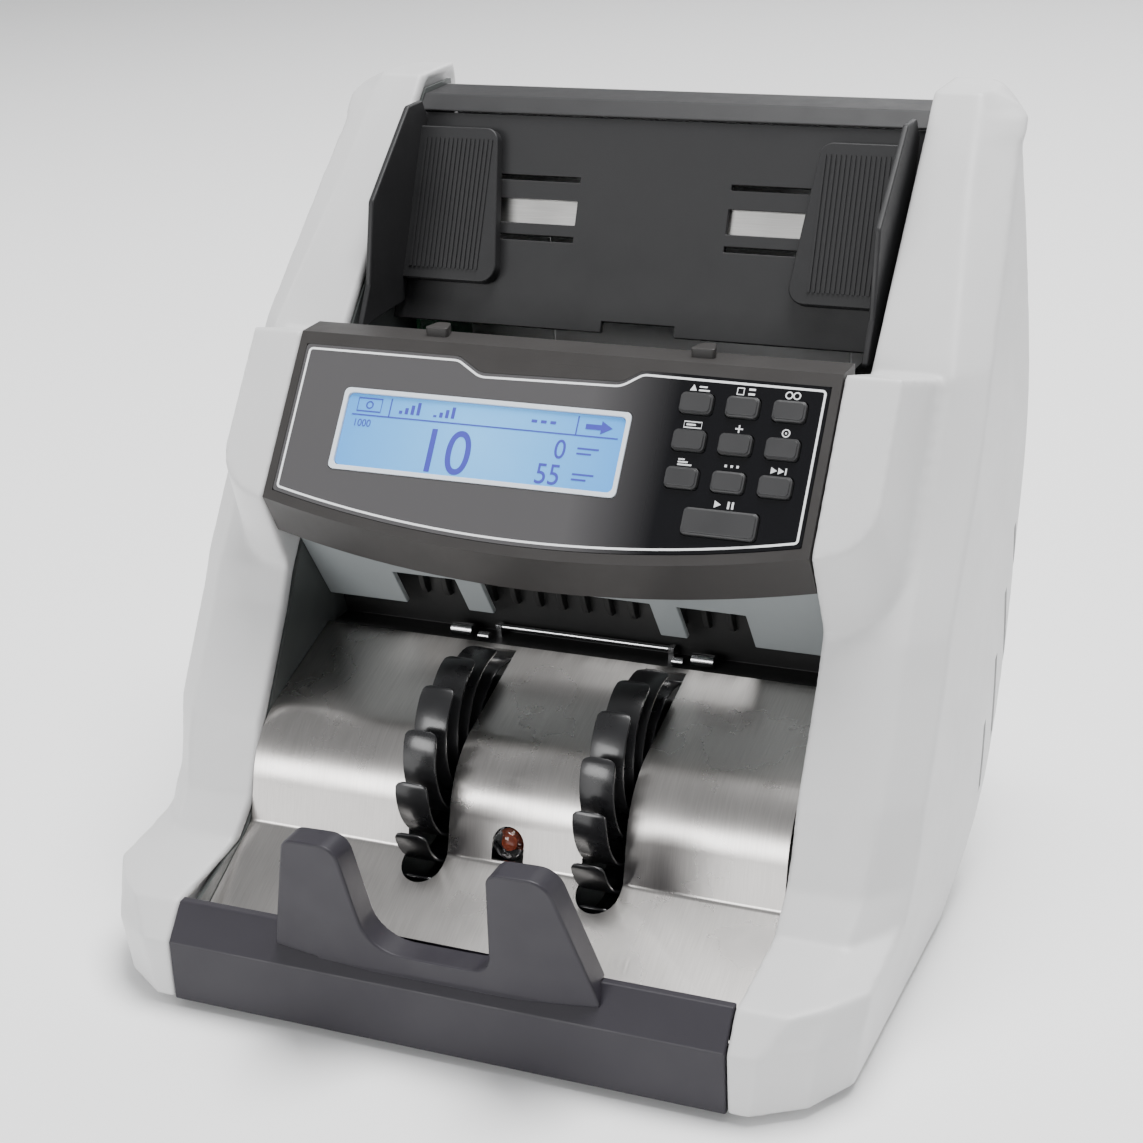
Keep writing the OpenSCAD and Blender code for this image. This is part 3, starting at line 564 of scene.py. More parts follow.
def wallSection(z, inset, inner):
    # Horizontal section of the right cover, as (x, y) points
    w = wall
    yf = lineCurve(w["frontY"], z + inset) + 0.6 * inset
    yb = smoothCurve(w["backY"], z - inset) - 0.6 * inset
    side = smoothCurve(w["sideX"], z) - inset
    a = (lineCurve(w["edgeX"], z) - 0.4 * inset, yf)
    b = (side, lineCurve(w["frontY"], z + inset) + lineCurve(w["chamferY"], z) + 0.4 * inset)
    c = (side, smoothCurve(w["sideBackY"], z - inset) - 0.4 * inset)
    d = (w["backEdgeX"] - 0.4 * inset, yb)
    bulge = lineCurve(w["bulge"], z)
    return [(inner, yf), a, midPoint(a, b, bulge), b, c, midPoint(c, d, w["backBulge"]), d, (inner, yb)]


def loftSolid(name, sections):
    # sections: list of (z, points); every section has the same number of points
    bm = bmesh.new()
    rings = [[bm.verts.new(at(x, y, z)) for x, y in pts] for z, pts in sections]
    bm.faces.new(rings[0])
    bm.faces.new(list(reversed(rings[-1])))
    for low, high in zip(rings, rings[1:]):
        for i in range(len(low)):
            j = (i + 1) % len(low)
            bm.faces.new((low[i], high[i], high[j], low[j]))
    outwards(bm)
    bmesh.ops.triangulate(bm, faces=bm.faces)
    return addObject(name, meshFrom(name, bm))


def cheekSolid(inset):
    c = wall["cheek"]
    x0 = wall["inner"] + (inset if inset > 0 else 0)
    bm = bmesh.new()

    def outline(place, x1, length, radius):
        pts = [(x0, inset), (x0, length - inset), (x1 - inset, inset)]
        for k in range(13):
            t = k * math.pi / 24
            r = radius - inset
            pts.append((x1 - radius + r * math.sin(t), length - radius + r * math.cos(t)))
        for x, v in pts:
            bm.verts.new(place(x, v))

    low, high = (97.4, 117.4), (150.8, 190.0)
    slope = math.atan2(high[1] - low[1], high[0] - low[0])
    length = math.hypot(high[0] - low[0], high[1] - low[1])
    sink = 7 if inset > 0 else 2

    def onWall(x, v):
        return at(x, high[0] - v * math.cos(slope) + sink * math.sin(slope),
                  high[1] - v * math.sin(slope) - sink * math.cos(slope))

    outline(lambda x, v: onConsole(x, v, -inset), c["faceX"], console["length"], c["faceRadius"])
    outline(onWall, c["wallX"], length, c["wallRadius"])
    bmesh.ops.convex_hull(bm, input=bm.verts)
    loose = [v for v in bm.verts if not v.link_faces]
    bmesh.ops.delete(bm, geom=loose, context="VERTS")
    outwards(bm)
    return addObject("cheek", meshFrom("cheek", bm))


def makeSideCovers():
    w = wall
    marks = [p[0] for p in w["frontY"]] + [262.0]
    evenly = set(np.round(np.linspace(0, w["height"], 64), 2))
    zs = sorted(evenly | set(marks) | {33.2, 35.2, 39.0, 51.0, 264.5, 266.3})
    cover = loftSolid("side_cover_right_finished", [(z, wallSection(z, 0, w["inner"])) for z in zs])
    booleanWith(cover, cheekSolid(0), "UNION")
    t = w["shell"]
    innerZs = [t] + [z for z in zs if t < z < w["height"] - t] + [w["height"] - t]
    hollow = loftSolid("hollow", [(z, wallSection(z, t, w["inner"] + t)) for z in innerZs])
    booleanWith(cover, hollow, "DIFFERENCE")
    booleanWith(cover, cheekSolid(t), "DIFFERENCE")

    def mouth(z):
        yf, yb = lineCurve(w["frontY"], z + t) + 0.6 * t + 3, smoothCurve(w["backY"], z - t) - 0.6 * t
        x0, x1 = w["inner"] - 2, w["inner"] + t + 0.1
        return [(x0, yf), (x1, yf), (x1, yb), (x0, yb)]
    booleanWith(cover, loftSolid("mouth", [(z, mouth(z)) for z in innerZs]), "DIFFERENCE")
    remesh = cover.modifiers.new("voxels", "REMESH")
    remesh.mode = "VOXEL"
    remesh.voxel_size = w["voxel"] * 0.001
    remesh.adaptivity = 0
    smooth = cover.modifiers.new("soften", "SMOOTH")
    smooth.factor = 0.5
    smooth.iterations = w["smoothing"]
    baked(cover)
    bm = bmesh.new()
    for y, z, tall in w["vents"]:
        back = y + w["ventWidth"]
        slabOf(bm, [(y, z), (back, z + 1.5), (back, z + tall), (y, z + tall - 1.5)],
               lambda u, v, x: at(x, u, v), 120, 140)
    outwards(bm)
    booleanWith(cover, addObject("slots", meshFrom("slots", bm)), "DIFFERENCE")
    mesh = cover.data.copy()
    twin = addObject("side_cover_left_finished", mesh)
    bm = bmesh.new()
    bm.from_mesh(mesh)
    for v in bm.verts:
        v.co.x = -v.co.x
    bmesh.ops.reverse_faces(bm, faces=bm.faces)
    bm.to_mesh(mesh)
    bm.free()
    finishPiece(cover, "shell", "root", ["side_cover_right"], smooth=60)
    finishPiece(twin, "shell", "root", ["side_cover_left"], smooth=60)


makeSideCovers()
print("side covers made")

# Nodes that keep their own form, with rounded edges
rounded = {
    # node: (material, edge radius in mm, segments)
    "front_skirt": ("charcoal", 0.9, 3), "console_housing": ("bezel", 0.9, 3),
    "duct_panel": ("greyShell", 0.5, 2), "hopper_plate": ("hopper", 0.4, 2), "hopper_cap": ("hopper", 0.7, 3),
    "rear_cover": ("shell", 0.7, 2),
    "jam_door": ("shell", 0.5, 2), "power_inlet": ("inlet", 0.5, 2), "switch_rocker": ("inlet", 0.6, 2),
    "key_run": ("key", 0.55, 3), "lcd_frame": ("lcdFrame", 0.15, 2), "exit_guide": ("dark", 0.3, 2),
    "rubber_feet": ("foot", 0.6, 2), "main_motor": ("can", 0.8, 2), "stacker_motor": ("can", 0.8, 2),
    "power_supply": ("can", 0.6, 2), "separator_roller": ("roller", 0.4, 2),
    "feed_rollers": ("roller", 0.6, 2), "upper_rollers": ("roller", 0.6, 2),
    "lower_rollers": ("roller", 0.6, 2),
    "pinch_roller_upper": ("pinch", 0.5, 2), "pinch_roller_lower": ("pinch", 0.5, 2),
}
for i in range(1, 10):
    rounded["key_%d" % i] = ("key", 0.55, 3)
for node, (material, width, segments) in rounded.items():
    softened(node, material, width, segments)
print("shells rounded:", len(rounded))

# Nodes that keep their mesh and get a finish
finishOf = {
    "base_pan": "frameSheet", "side_frame_left": "frameSheet", "side_frame_right": "frameSheet",
    "stacker_shaft": "shaft", "stacker_motor_rotor": "shaft", "stacker_belt": "belt",
    "display_board": "board",
    "exit_pins": "shaft", "slide_rails": "rail", "feed_shaft": "shaft", "upper_shaft": "shaft",
    "lower_shaft": "shaft",
    "main_motor_rotor": "shaft", "drive_belts": "belt", "bearings": "bronze", "main_board": "board",
    "door_pin": "shaft", "cover_screws": "shaft",
}


def giveMaterial(node, mat):
    mesh = frame["nodes"][node].data
    mesh.materials.clear()
    mesh.materials.append(mat)


for node, material in finishOf.items():
    giveMaterial(node, mats[material])
lcdLow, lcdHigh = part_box("lcd_window")
giveMaterial("lcd_window", displayGlow("displayGlow", (0.16, 0.50, 0.92), (0.05, 0.27, 0.70),
                                       (lcdLow + lcdHigh) / 2, 0.075))

# Stacker plate: fine sheet with round-ended slots
sheet = {
    "thick": 1.0, "start": 14.0, "foldY": 58.3, "foldZ": 38.6, "floorSlope": 27.0, "curveR": 30.6,
    "curveStart": (61.0, 51.5), "riser": 78.0, "roof": 18.0, "end": 122.0, "halfWidth": 97.8,
    "slots": (-28.8, 35.2), "slotWidth": 15.0, "slotFront": 46.0, "slotBack": 120.0,
    "lens": {"x": 0.8, "z": 45.0, "w": 11.6},
}


def sheetPath(offset):
    s = sheet
    rad = math.radians
    cy = s["curveStart"][0] + s["curveR"] * math.sin(rad(s["riser"]))
    cz = s["curveStart"][1] - s["curveR"] * math.cos(rad(s["riser"]))
    z0 = s["foldZ"] - (s["foldY"] - s["start"]) * math.tan(rad(s["floorSlope"]))
    pts = [(s["start"], z0 - offset)]
    r = s["curveR"] - offset
    # small bend where the floor meets the riser
    foldAngle = [s["floorSlope"] + (s["riser"] - s["floorSlope"]) * k / 6 for k in range(7)]
    bendR = 2.4 + offset
    by = s["foldY"] - 2.2 - 2.4 * math.sin(rad(s["floorSlope"]))
    bz = s["foldZ"] - 1.1 + 2.4 * math.cos(rad(s["floorSlope"]))
    pts += [(by + bendR * math.sin(rad(a)), bz - bendR * math.cos(rad(a))) for a in foldAngle]
    steps = 30
    for k in range(steps + 1):
        a = rad(s["riser"] + (s["roof"] - s["riser"]) * k / steps)
        pts.append((cy - r * math.sin(a), cz + r * math.cos(a)))
    last = pts[-1]
    slope = math.tan(rad(s["roof"]))
    pts.append((s["end"], last[1] + (s["end"] - last[0]) * slope))
    return pts


def makeStackerPlate():
    s = sheet
    outline = sheetPath(0) + list(reversed(sheetPath(s["thick"])))
    obj = prism("stacker_plate_finished", outline, -s["halfWidth"], s["halfWidth"])
    half = s["slotWidth"] / 2
    for x in s["slots"]:
        arc = [(x - half * math.cos(t), s["slotFront"] + half - half * math.sin(t))
               for t in (k * math.pi / 16 for k in range(17))]
        slot = arc + [(x + half, s["slotBack"]), (x - half, s["slotBack"])]
        booleanWith(obj, slabSolid("cutter", slot, at, 10, 120), "DIFFERENCE")
    lens = s["lens"]
    half = lens["w"] / 2
    arch = [(lens["x"] + half * math.cos(k * math.pi / 14), lens["z"] + half * math.sin(k * math.pi / 14))
            for k in range(15)]
    ring = [*arch, (lens["x"] - half, lens["z"] - half), (lens["x"] + half, lens["z"] - half)]
    booleanWith(obj, slabSolid("cutter", ring, lambda x, z, y: at(x, y, z), 50, 75), "DIFFERENCE")
    return finishPiece(obj, "steel", "root", ["stacker_plate"], smooth=20)


makeStackerPlate()
print("stacker plate made")

# Stacker wheels
wheel = {"centre": (91.0, 49.5), "x": (-28.8, 35.2), "width": 12.0, "radius": 45.5, "hub": 11.0, "bore": 4.0,
         "blades": 16, "curveR": 24.0, "curveOff": 23.0, "bladeStart": 8.5, "thick": 1.0, "tipRound": 3.0}


def bladeLine(w, steps):
    # Middle line of one blade as (y, z) from the axis, trailing as the wheel turns
    pts = []
    for k in range(steps + 1):
        # angle round the blade's own circle, from the hub to the rim
        a = math.radians(-72 + 142 * k / steps)
        along, up = w["curveR"] * math.cos(a), w["curveOff"] + w["curveR"] * math.sin(a)
        if w["bladeStart"] <= math.hypot(along, up) <= w["radius"]:
            pts.append((up, along))
    return pts


def bladeMesh(bm, x, turn, w):
    line = bladeLine(w, 90)
    line = line[::5] + line[-4::1]
    line = sorted(set(line), key=lambda q: math.hypot(*q))
    cy, cz = w["centre"]
    tip = len(line)
    length = [0.0]
    for p, q in zip(line, line[1:]):
        length.append(length[-1] + math.dist(p, q))
    rows = []
    for k, (u, v) in enumerate(line):
        q = line[min(k + 1, tip - 1)]
        p = line[max(k - 1, 0)]
        dy, dz = q[0] - p[0], q[1] - p[1]
        size = math.hypot(dy, dz)
        ny, nz = -dz / size, dy / size
        left = length[-1] - length[k]
        r = w["tipRound"]
        half = w["width"] / 2
        if left < r:
            half -= r - math.sqrt(max(r * r - (r - left) ** 2, 0.0))
        row = []
        for side in (-1, 1):
            for face in (-1, 1):
                y, z = u + face * ny * w["thick"] / 2, v + face * nz * w["thick"] / 2
                ry = y * math.cos(turn) - z * math.sin(turn)
                rz = y * math.sin(turn) + z * math.cos(turn)
                row.append(bm.verts.new(at(x + side * half, cy + ry, cz + rz)))
        rows.append(row)
    for a, b in zip(rows, rows[1:]):
        bm.faces.new((a[0], b[0], b[2], a[2]))
        bm.faces.new((a[1], a[3], b[3], b[1]))
        bm.faces.new((a[0], a[1], b[1], b[0]))
        bm.faces.new((a[2], b[2], b[3], a[3]))
    bm.faces.new((rows[0][0], rows[0][2], rows[0][3], rows[0][1]))
    bm.faces.new((rows[-1][0], rows[-1][1], rows[-1][3], rows[-1][2]))


def ringSolid(bm, x0, x1, inner, outer, centre):
    cy, cz = centre
    steps = 48
    rings = []
    for x, r in ((x0, inner), (x0, outer), (x1, outer), (x1, inner)):
        rings.append([bm.verts.new(at(x, cy + r * math.cos(2 * math.pi * k / steps),
                                      cz + r * math.sin(2 * math.pi * k / steps))) for k in range(steps)])
    for a, b in zip(rings, rings[1:] + rings[:1]):
        for k in range(steps):
            j = (k + 1) % steps
            bm.faces.new((a[k], b[k], b[j], a[j]))


def makeWheel(name, node, x):
    w = wheel
    bm = bmesh.new()
    for i in range(w["blades"]):
        bladeMesh(bm, x, math.radians(360 * i / w["blades"] + 6), w)
    ringSolid(bm, x - w["width"] / 2, x + w["width"] / 2, w["bore"], w["hub"], w["centre"])
    for side in (-1, 1):
        edge = x + side * w["width"] / 2
        ringSolid(bm, edge, edge + side * 0.9, w["bore"] + 0.4, w["hub"] - 4, w["centre"])
    bmesh.ops.recalc_face_normals(bm, faces=bm.faces)
    obj = addObject(name, meshFrom(name, bm))
    roundEdges(obj, 0.3, 2, 50)
    baked(obj)
    finishPiece(obj, "blade", "stacker", [node], smooth=40)


makeWheel("stacker_wheel_left_finished", "stacker_wheel_left", wheel["x"][0])
makeWheel("stacker_wheel_right_finished", "stacker_wheel_right", wheel["x"][1])
print("stacker wheels made")

def shapeTree(name, inputs):
    tree = bpy.data.node_groups.new(name, "GeometryNodeTree")
    socket(tree, "Geometry", "NodeSocketGeometry", "OUTPUT")
    for label, kind, value in inputs + [("Material", "Material", None)]:
        socket(tree, label, "NodeSocket" + kind, "INPUT", value)
    return tree, make(tree, "NodeGroupInput"), make(tree, "NodeGroupOutput")


def madeReal(tree, gin, gout, shape):
    # The shape on every point, made real and given its material
    put, real, paint = (make(tree, "GeometryNode" + kind) for kind in (
        "InstanceOnPoints", "RealizeInstances", "SetMaterial"))
    link(tree, shape, put.inputs["Instance"])
    link(tree, put.outputs["Instances"], real.inputs["Geometry"])
    link(tree, real.outputs["Geometry"], paint.inputs["Geometry"])
    link(tree, gin.outputs["Material"], paint.inputs["Material"])
    link(tree, paint.outputs["Geometry"], gout.inputs["Geometry"])
    return put


def rowTree():
    # Row of bars: a line of points with a bar on each
    tree, gin, gout = shapeTree("rowOfBars", [("Count", "Int", 10), ("Start", "Vector", None),
                                              ("Step", "Vector", None), ("Bar Size", "Vector", None)])
    row, bar = make(tree, "GeometryNodeMeshLine", mode="OFFSET"), make(tree, "GeometryNodeMeshCube")
    link(tree, gin.outputs["Count"], row.inputs["Count"])
    link(tree, gin.outputs["Start"], row.inputs["Start Location"])
    link(tree, gin.outputs["Step"], row.inputs["Offset"])
    link(tree, gin.outputs["Bar Size"], bar.inputs["Size"])
    put = madeReal(tree, gin, gout, bar.outputs["Mesh"])
    link(tree, row.outputs["Mesh"], put.inputs["Points"])
    return tree


def screwTree():
    # Pan-head screws on the points of a mesh: a tapered head on each
    tree, gin, gout = shapeTree("screwsOnPoints", [
        ("Geometry", "Geometry", None), ("Head Radius", "Float", 0.003), ("Head Height", "Float", 0.0012),
        ("Turn", "Vector", None)])
    head = make(tree, "GeometryNodeMeshCone", {"Vertices": 24})
    ratio = make(tree, "ShaderNodeMath", operation="MULTIPLY")
    ratio.inputs[1].default_value = 0.72
    link(tree, gin.outputs["Head Radius"], ratio.inputs[0])
    link(tree, ratio.outputs[0], head.inputs["Radius Top"])
    link(tree, gin.outputs["Head Radius"], head.inputs["Radius Bottom"])
    link(tree, gin.outputs["Head Height"], head.inputs["Depth"])
    put = madeReal(tree, gin, gout, head.outputs["Mesh"])
    link(tree, gin.outputs["Geometry"], put.inputs["Points"])
    link(tree, gin.outputs["Turn"], put.inputs["Rotation"])
    return tree


trees = {"row": rowTree(), "screws": screwTree()}


def nodesObject(name, tree, values, points=()):
    mesh = bpy.data.meshes.new(name)
    mesh.from_pydata([tuple(p) for p in points], [], [])
    obj = addObject(name, mesh)
    m = obj.modifiers.new("made", "NODES")
    m.node_group = trees[tree]
    for item in trees[tree].interface.items_tree:
        if item.item_type == "SOCKET" and item.in_out == "INPUT" and item.name in values:
            m[item.identifier] = values[item.name]
    return baked(obj)


def rowPiece(name, place, count, start, step, size, material, body):
    # place is a 4x4 matrix from the row's own frame, in metres
    obj = nodesObject(name, "row", {"Count": count, "Start": [v * 0.001 for v in start],
                                    "Step": [v * 0.001 for v in step], "Bar Size": [v * 0.001 for v in size],
                                    "Material": mats[material]})
    obj.data.transform(place)
    return finishPiece(obj, material, body)


def turnedAbout(y, z, degrees):
    return Matrix.Translation(at(0, y, z)) @ Matrix.Rotation(math.radians(degrees), 4, "X")


# Stop plate
stop = {
    # front outline: x, height up the lean, corner radius
    "outline": [(-60, -3, 1), (-46.5, 48, 5), (-27, 49.5, 6), (-22, 8.5, 13), (20.5, 8.5, 7), (25, 49.5, 4.5),
                (44.5, 49.5, 8), (57.5, -3, 1)],
    "lean": 11.0, "thick": 10.5, "y": 4.3, "z": 25.4, "bow": 3.0, "halfBase": 60.0, "edge": 2.1,
}


def makeStopPlate():
    s = stop
    lean = math.radians(s["lean"])

    def place(x, h, depth):
        forward = s["bow"] * (1 - (x / s["halfBase"]) ** 2)
        y = s["y"] - h * math.sin(lean) + depth - forward
        z = s["z"] + h * math.cos(lean)
        return at(x, y, z)
    outline = arcCorners(s["outline"])
    dense = []
    for p, q in zip(outline, outline[1:] + outline[:1]):
        steps = max(1, int(math.dist(p, q) / 6))
        dense += [(p[0] + (q[0] - p[0]) * k / steps, p[1] + (q[1] - p[1]) * k / steps) for k in range(steps)]
    obj = slabSolid("stop_plate_finished", dense, place, 0, s["thick"])
    # The front skirt is cut out together with the strip under it, then once more alone.
    face = [(-0.2, -5), (-0.2, 21.6), (8.9, 32.8), (20, 32.8), (20, -5)]
    below = [(-30, -5)] + face + [(21, -5), (21, -9), (-30, -9)]
    for cut in (below, face):
        booleanWith(obj, prism("cutter", cut, -80, 80), "DIFFERENCE")
    roundEdges(obj, s["edge"], 4, 50)
    evenShading(obj)
    baked(obj)
    finishPiece(obj, "charcoal", "root", ["stop_plate"], smooth=0)


makeStopPlate()
print("stop plate made")

# Side guides of the hopper
guide = {
    "refY": 205.2, "refZ": 218.7, "slope": 65.5, "rest": 0.4, "thick": 5.0, "plate": 2.5,
    "pad": [(62, 249, 5), (94, 249, 1), (94, 197, 1), (55.5, 197, 6)],
    "wing": [(205, 260, 3), (172, 232, 3), (165, 203, 3), (156, 189, 1), (190.8, 190, 1), (219.8, 253, 1),
             (216, 260, 1)],
    "wingX": (93.2, 95.4), "slots": (213.8, 233.9), "pegs": (66, 88),
    "ribs": 16, "ribPitch": 1.78, "ribWidth": 1.0, "ribHeight": 0.5,
}


def upHopper(z):
    return (z - guide["refZ"]) / math.sin(math.radians(guide["slope"]))


def onHopper(x, v, h):
    s = math.radians(guide["slope"])
    return at(x, guide["refY"] + v * math.cos(s) - h * math.sin(s),
              guide["refZ"] + v * math.sin(s) + h * math.cos(s))


def makeGuide(side, name):
    g = guide
    bm = bmesh.new()
    top = g["rest"] + g["thick"]

    def place(x, v, h):
        return onHopper(side * x, v, h)
    outline = arcCorners([(x, upHopper(z), r) for x, z, r in g["pad"]])
    slabOf(bm, outline, place, g["rest"], top)
    for z in g["slots"]:
        barOn(bm, place, *g["pegs"], upHopper(z) - 0.7, upHopper(z) + 0.7, -g["plate"] - 3, 1.2)
    low, high = (upHopper(z) for z in g["slots"])
    inner, outer = g["pegs"]
    barOn(bm, place, inner - 2, outer + 2, low - 2, high + 2, -g["plate"] - 4.6, -g["plate"] - 2.8)
    s = math.radians(g["slope"])
    wing = []
    for y, z, r in g["wing"]:
        depth = -(y - g["refY"]) * math.sin(s) + (z - g["refZ"]) * math.cos(s)
        if depth < g["rest"]:
            v = (y - g["refY"]) * math.cos(s) + (z - g["refZ"]) * math.sin(s)
            y = g["refY"] + v * math.cos(s) - g["rest"] * math.sin(s)
            z = g["refZ"] + v * math.sin(s) + g["rest"] * math.cos(s)
        wing.append((y, z, r))
    slabOf(bm, arcCorners(wing), lambda y, z, x: at(side * x, y, z), *g["wingX"])
    solidPiece(name + "_finished", bm, "pad", name, [name], bevel=0.9, segments=3)
    turn = turnedAbout(g["refY"], g["refZ"], g["slope"])
    half = (g["ribs"] - 1) * g["ribPitch"] / 2
    middle = (upHopper(249) + upHopper(197)) / 2
    long = upHopper(249) - upHopper(197) - 9
    rowPiece(name + "_ribs", turn, g["ribs"], (side * 77.2 - half, middle, top), (g["ribPitch"], 0, 0),
             (g["ribWidth"], long, g["ribHeight"] * 2), "pad", name)


makeGuide(-1, "guide_left")
makeGuide(1, "guide_right")
print("side guides made")

# Printed overlay and its line
film = {
    "side": 94.6, "top": 4.6, "inset": 3.4, "thick": 0.8, "line": 0.75, "lineInset": 1.5,
    # the step down in the top edge: x, v, corner radius
    "step": [(-36, 4.6, 6), (-27, 9.8, 8), (24, 8.8, 8), (31, 4.2, 5)],
    "key0": (51.3, 14.1), "keyPitch": (15.7, 12.65), "keySize": (11, 7), "runKey": (66.9, 53.3),
    "runSize": (25, 9),
    "windowX": (-75.7, 30.0), "windowV": (19.0, 48.3),
}


def lowerEdge(x, inset):
    # Bowed lower edge of the console's face, as a distance down the face
    c = console
    radius = (c["halfWidth"] ** 2 + c["bow"] ** 2) / (2 * c["bow"])
    reach = radius - c["bow"]
    forward = math.sqrt((radius - inset) ** 2 - x * x) - reach
    return c["length"] + forward / math.cos(c["slope"] - c["bowTilt"])


def keyPlace(i):
    # Middle of one of the nine small keys, as x and v
    f = film
    return f["key0"][0] + f["keyPitch"][0] * (i % 3), f["key0"][1] + f["keyPitch"][1] * (i // 3)


def filmOutline(extra):
    f = film
    side, inset = f["side"] - extra, f["inset"] + extra
    top = [(-side, f["top"] + extra, 1.2)] + [(x, v + extra, r) for x, v, r in f["step"]]
    top += [(side, f["top"] + extra, 1.2)]
    low = [(side - k * side / 12, lowerEdge(side - k * side / 12, inset), 0) for k in range(25)]
    low[0] = (*low[0][:2], 1.2)
    low[-1] = (*low[-1][:2], 1.2)
    return arcCorners(top + low)


def makeFilm():
    f = film
    obj = slabSolid("overlay_panel_finished", filmOutline(0), onConsole, -f["thick"], 0)

    def cut(x, v, w, d, r, grow):
        w, d = w / 2 + grow, d / 2 + grow
        hole = arcCorners([(x - w, v - d, r), (x + w, v - d, r), (x + w, v + d, r), (x - w, v + d, r)])
        booleanWith(obj, slabSolid("cutter", hole, onConsole, -3, 2), "DIFFERENCE")
    wx, wv = f["windowX"], f["windowV"]
    cut((wx[0] + wx[1]) / 2, (wv[0] + wv[1]) / 2, wx[1] - wx[0], wv[1] - wv[0], 2, 0.2)
    for i in range(9):
        cut(*keyPlace(i), *f["keySize"], 1.8, 0.35)
    cut(*f["runKey"], *f["runSize"], 1.8, 0.35)
    finishPiece(obj, overlayFilm("printedFilm", (0.075, 0.073, 0.075), (0.002, 0.002, 0.003), 0.030, 0.03),
                "root", ["overlay_panel"], smooth=20)
    bm = bmesh.new()
    ribbonOn(bm, onConsole, filmOutline(f["lineInset"]), f["line"], 0.0, 0.06)
    solidPiece("overlay_line", bm, "print", "root")
    # the bezel fills the step above the film
    bm = bmesh.new()
    top = [(x, v - 0.15, r) for x, v, r in f["step"]]
    slabOf(bm, arcCorners([(-40, 4.3, 0)] + top + [(33, 4.3, 0)]), onConsole, -f["thick"], -0.02)
    solidPiece("bezel_step", bm, "bezel", "root")


makeFilm()
print("overlay made")

# Display figures
figures = {"height": -0.55, "top": -0.48,
           # text, x and v of its middle, height of a figure
           "numbers": [("10", -34, 38.3, 15.5), ("0", 7.2, 33.5, 6.6), ("55", 4.6, 42.4, 7.0),
                       ("1000", -67, 31.0, 2.6)],
           # thin lines: x0, v0, x1, v1
           "lines": [(-71.5, 28.2, 26.5, 28.2), (-57.5, 21.6, -57.5, 28.2), (11.5, 21.6, 11.5, 28.2)]}


def makeNumbers(rows, place, h0):
    whole = bmesh.new()
    for text, x, v, tall in rows:
        curve = bpy.data.curves.new("figure", "FONT")
        curve.body = text
        curve.align_x, curve.align_y = "CENTER", "CENTER"
        curve.size = 1
        curve.extrude = 0.01
        obj = addObject("figure", curve)
        graph = bpy.context.evaluated_depsgraph_get()
        graph.update()
        mesh = bpy.data.meshes.new_from_object(obj.evaluated_get(graph))
        high = max(p.co.y for p in mesh.vertices) - min(p.co.y for p in mesh.vertices)
        mid = (max(p.co.y for p in mesh.vertices) + min(p.co.y for p in mesh.vertices)) / 2
        k = tall / high
        for p in mesh.vertices:
            p.co = place(x + p.co.x * k * 0.92, v - (p.co.y - mid) * k, h0 + (0.07 if p.co.z > 0 else 0.0))
        whole.from_mesh(mesh)
        bpy.data.objects.remove(obj)
    return whole


def circle(x, v, r):
    return [(x + r * math.cos(k * math.pi / 8), v + r * math.sin(k * math.pi / 8)) for k in range(16)]


def makeDisplay():
    f = figures
    bm = makeNumbers(f["numbers"], onConsole, f["height"])
    for x0, v0, x1, v1 in f["lines"]:
        ribbonOn(bm, onConsole, [(x0, v0), (x1, v1)], 0.45, f["height"], f["top"], closed=False)
    # header marks: a note with its ring, level bars, dots and an arrow
    ribbonOn(bm, onConsole, [(-70, 22.2), (-61, 22.2), (-61, 26.8), (-70, 26.8)], 0.5, f["height"], f["top"])
    ribbonOn(bm, onConsole, circle(-65.5, 24.5, 1.2), 0.45, f["height"], f["top"])
    for k in range(4):
        for group, base in ((0, -54), (1, -41)):
            left, tall = base + 2.2 * k, 1.1 * (k + 1 - group * 0.4)
            barOn(bm, onConsole, left, left + 1.2, 26.6 - tall, 26.6, f["height"], f["top"])
    for k in range(3):
        barOn(bm, onConsole, -5 + 3.4 * k, -3 + 3.4 * k, 24.2, 25.2, f["height"], f["top"])
    arrow = [(14.5, 24.0), (20, 24.0), (20, 22.6), (24, 24.9), (20, 27.2), (20, 25.8), (14.5, 25.8)]
    slabOf(bm, arrow, onConsole, f["height"], f["top"])
    for v in (33.5, 42.4):
        ribbonOn(bm, onConsole, [(13.2, v - 0.9), (20.8, v - 0.9)], 0.6, f["height"], f["top"], closed=False)
        ribbonOn(bm, onConsole, [(13.2, v + 0.9), (18.4, v + 0.9)], 0.6, f["height"], f["top"], closed=False)
    solidPiece("display_figures", bm, "lcdInk", "root", smooth=0)


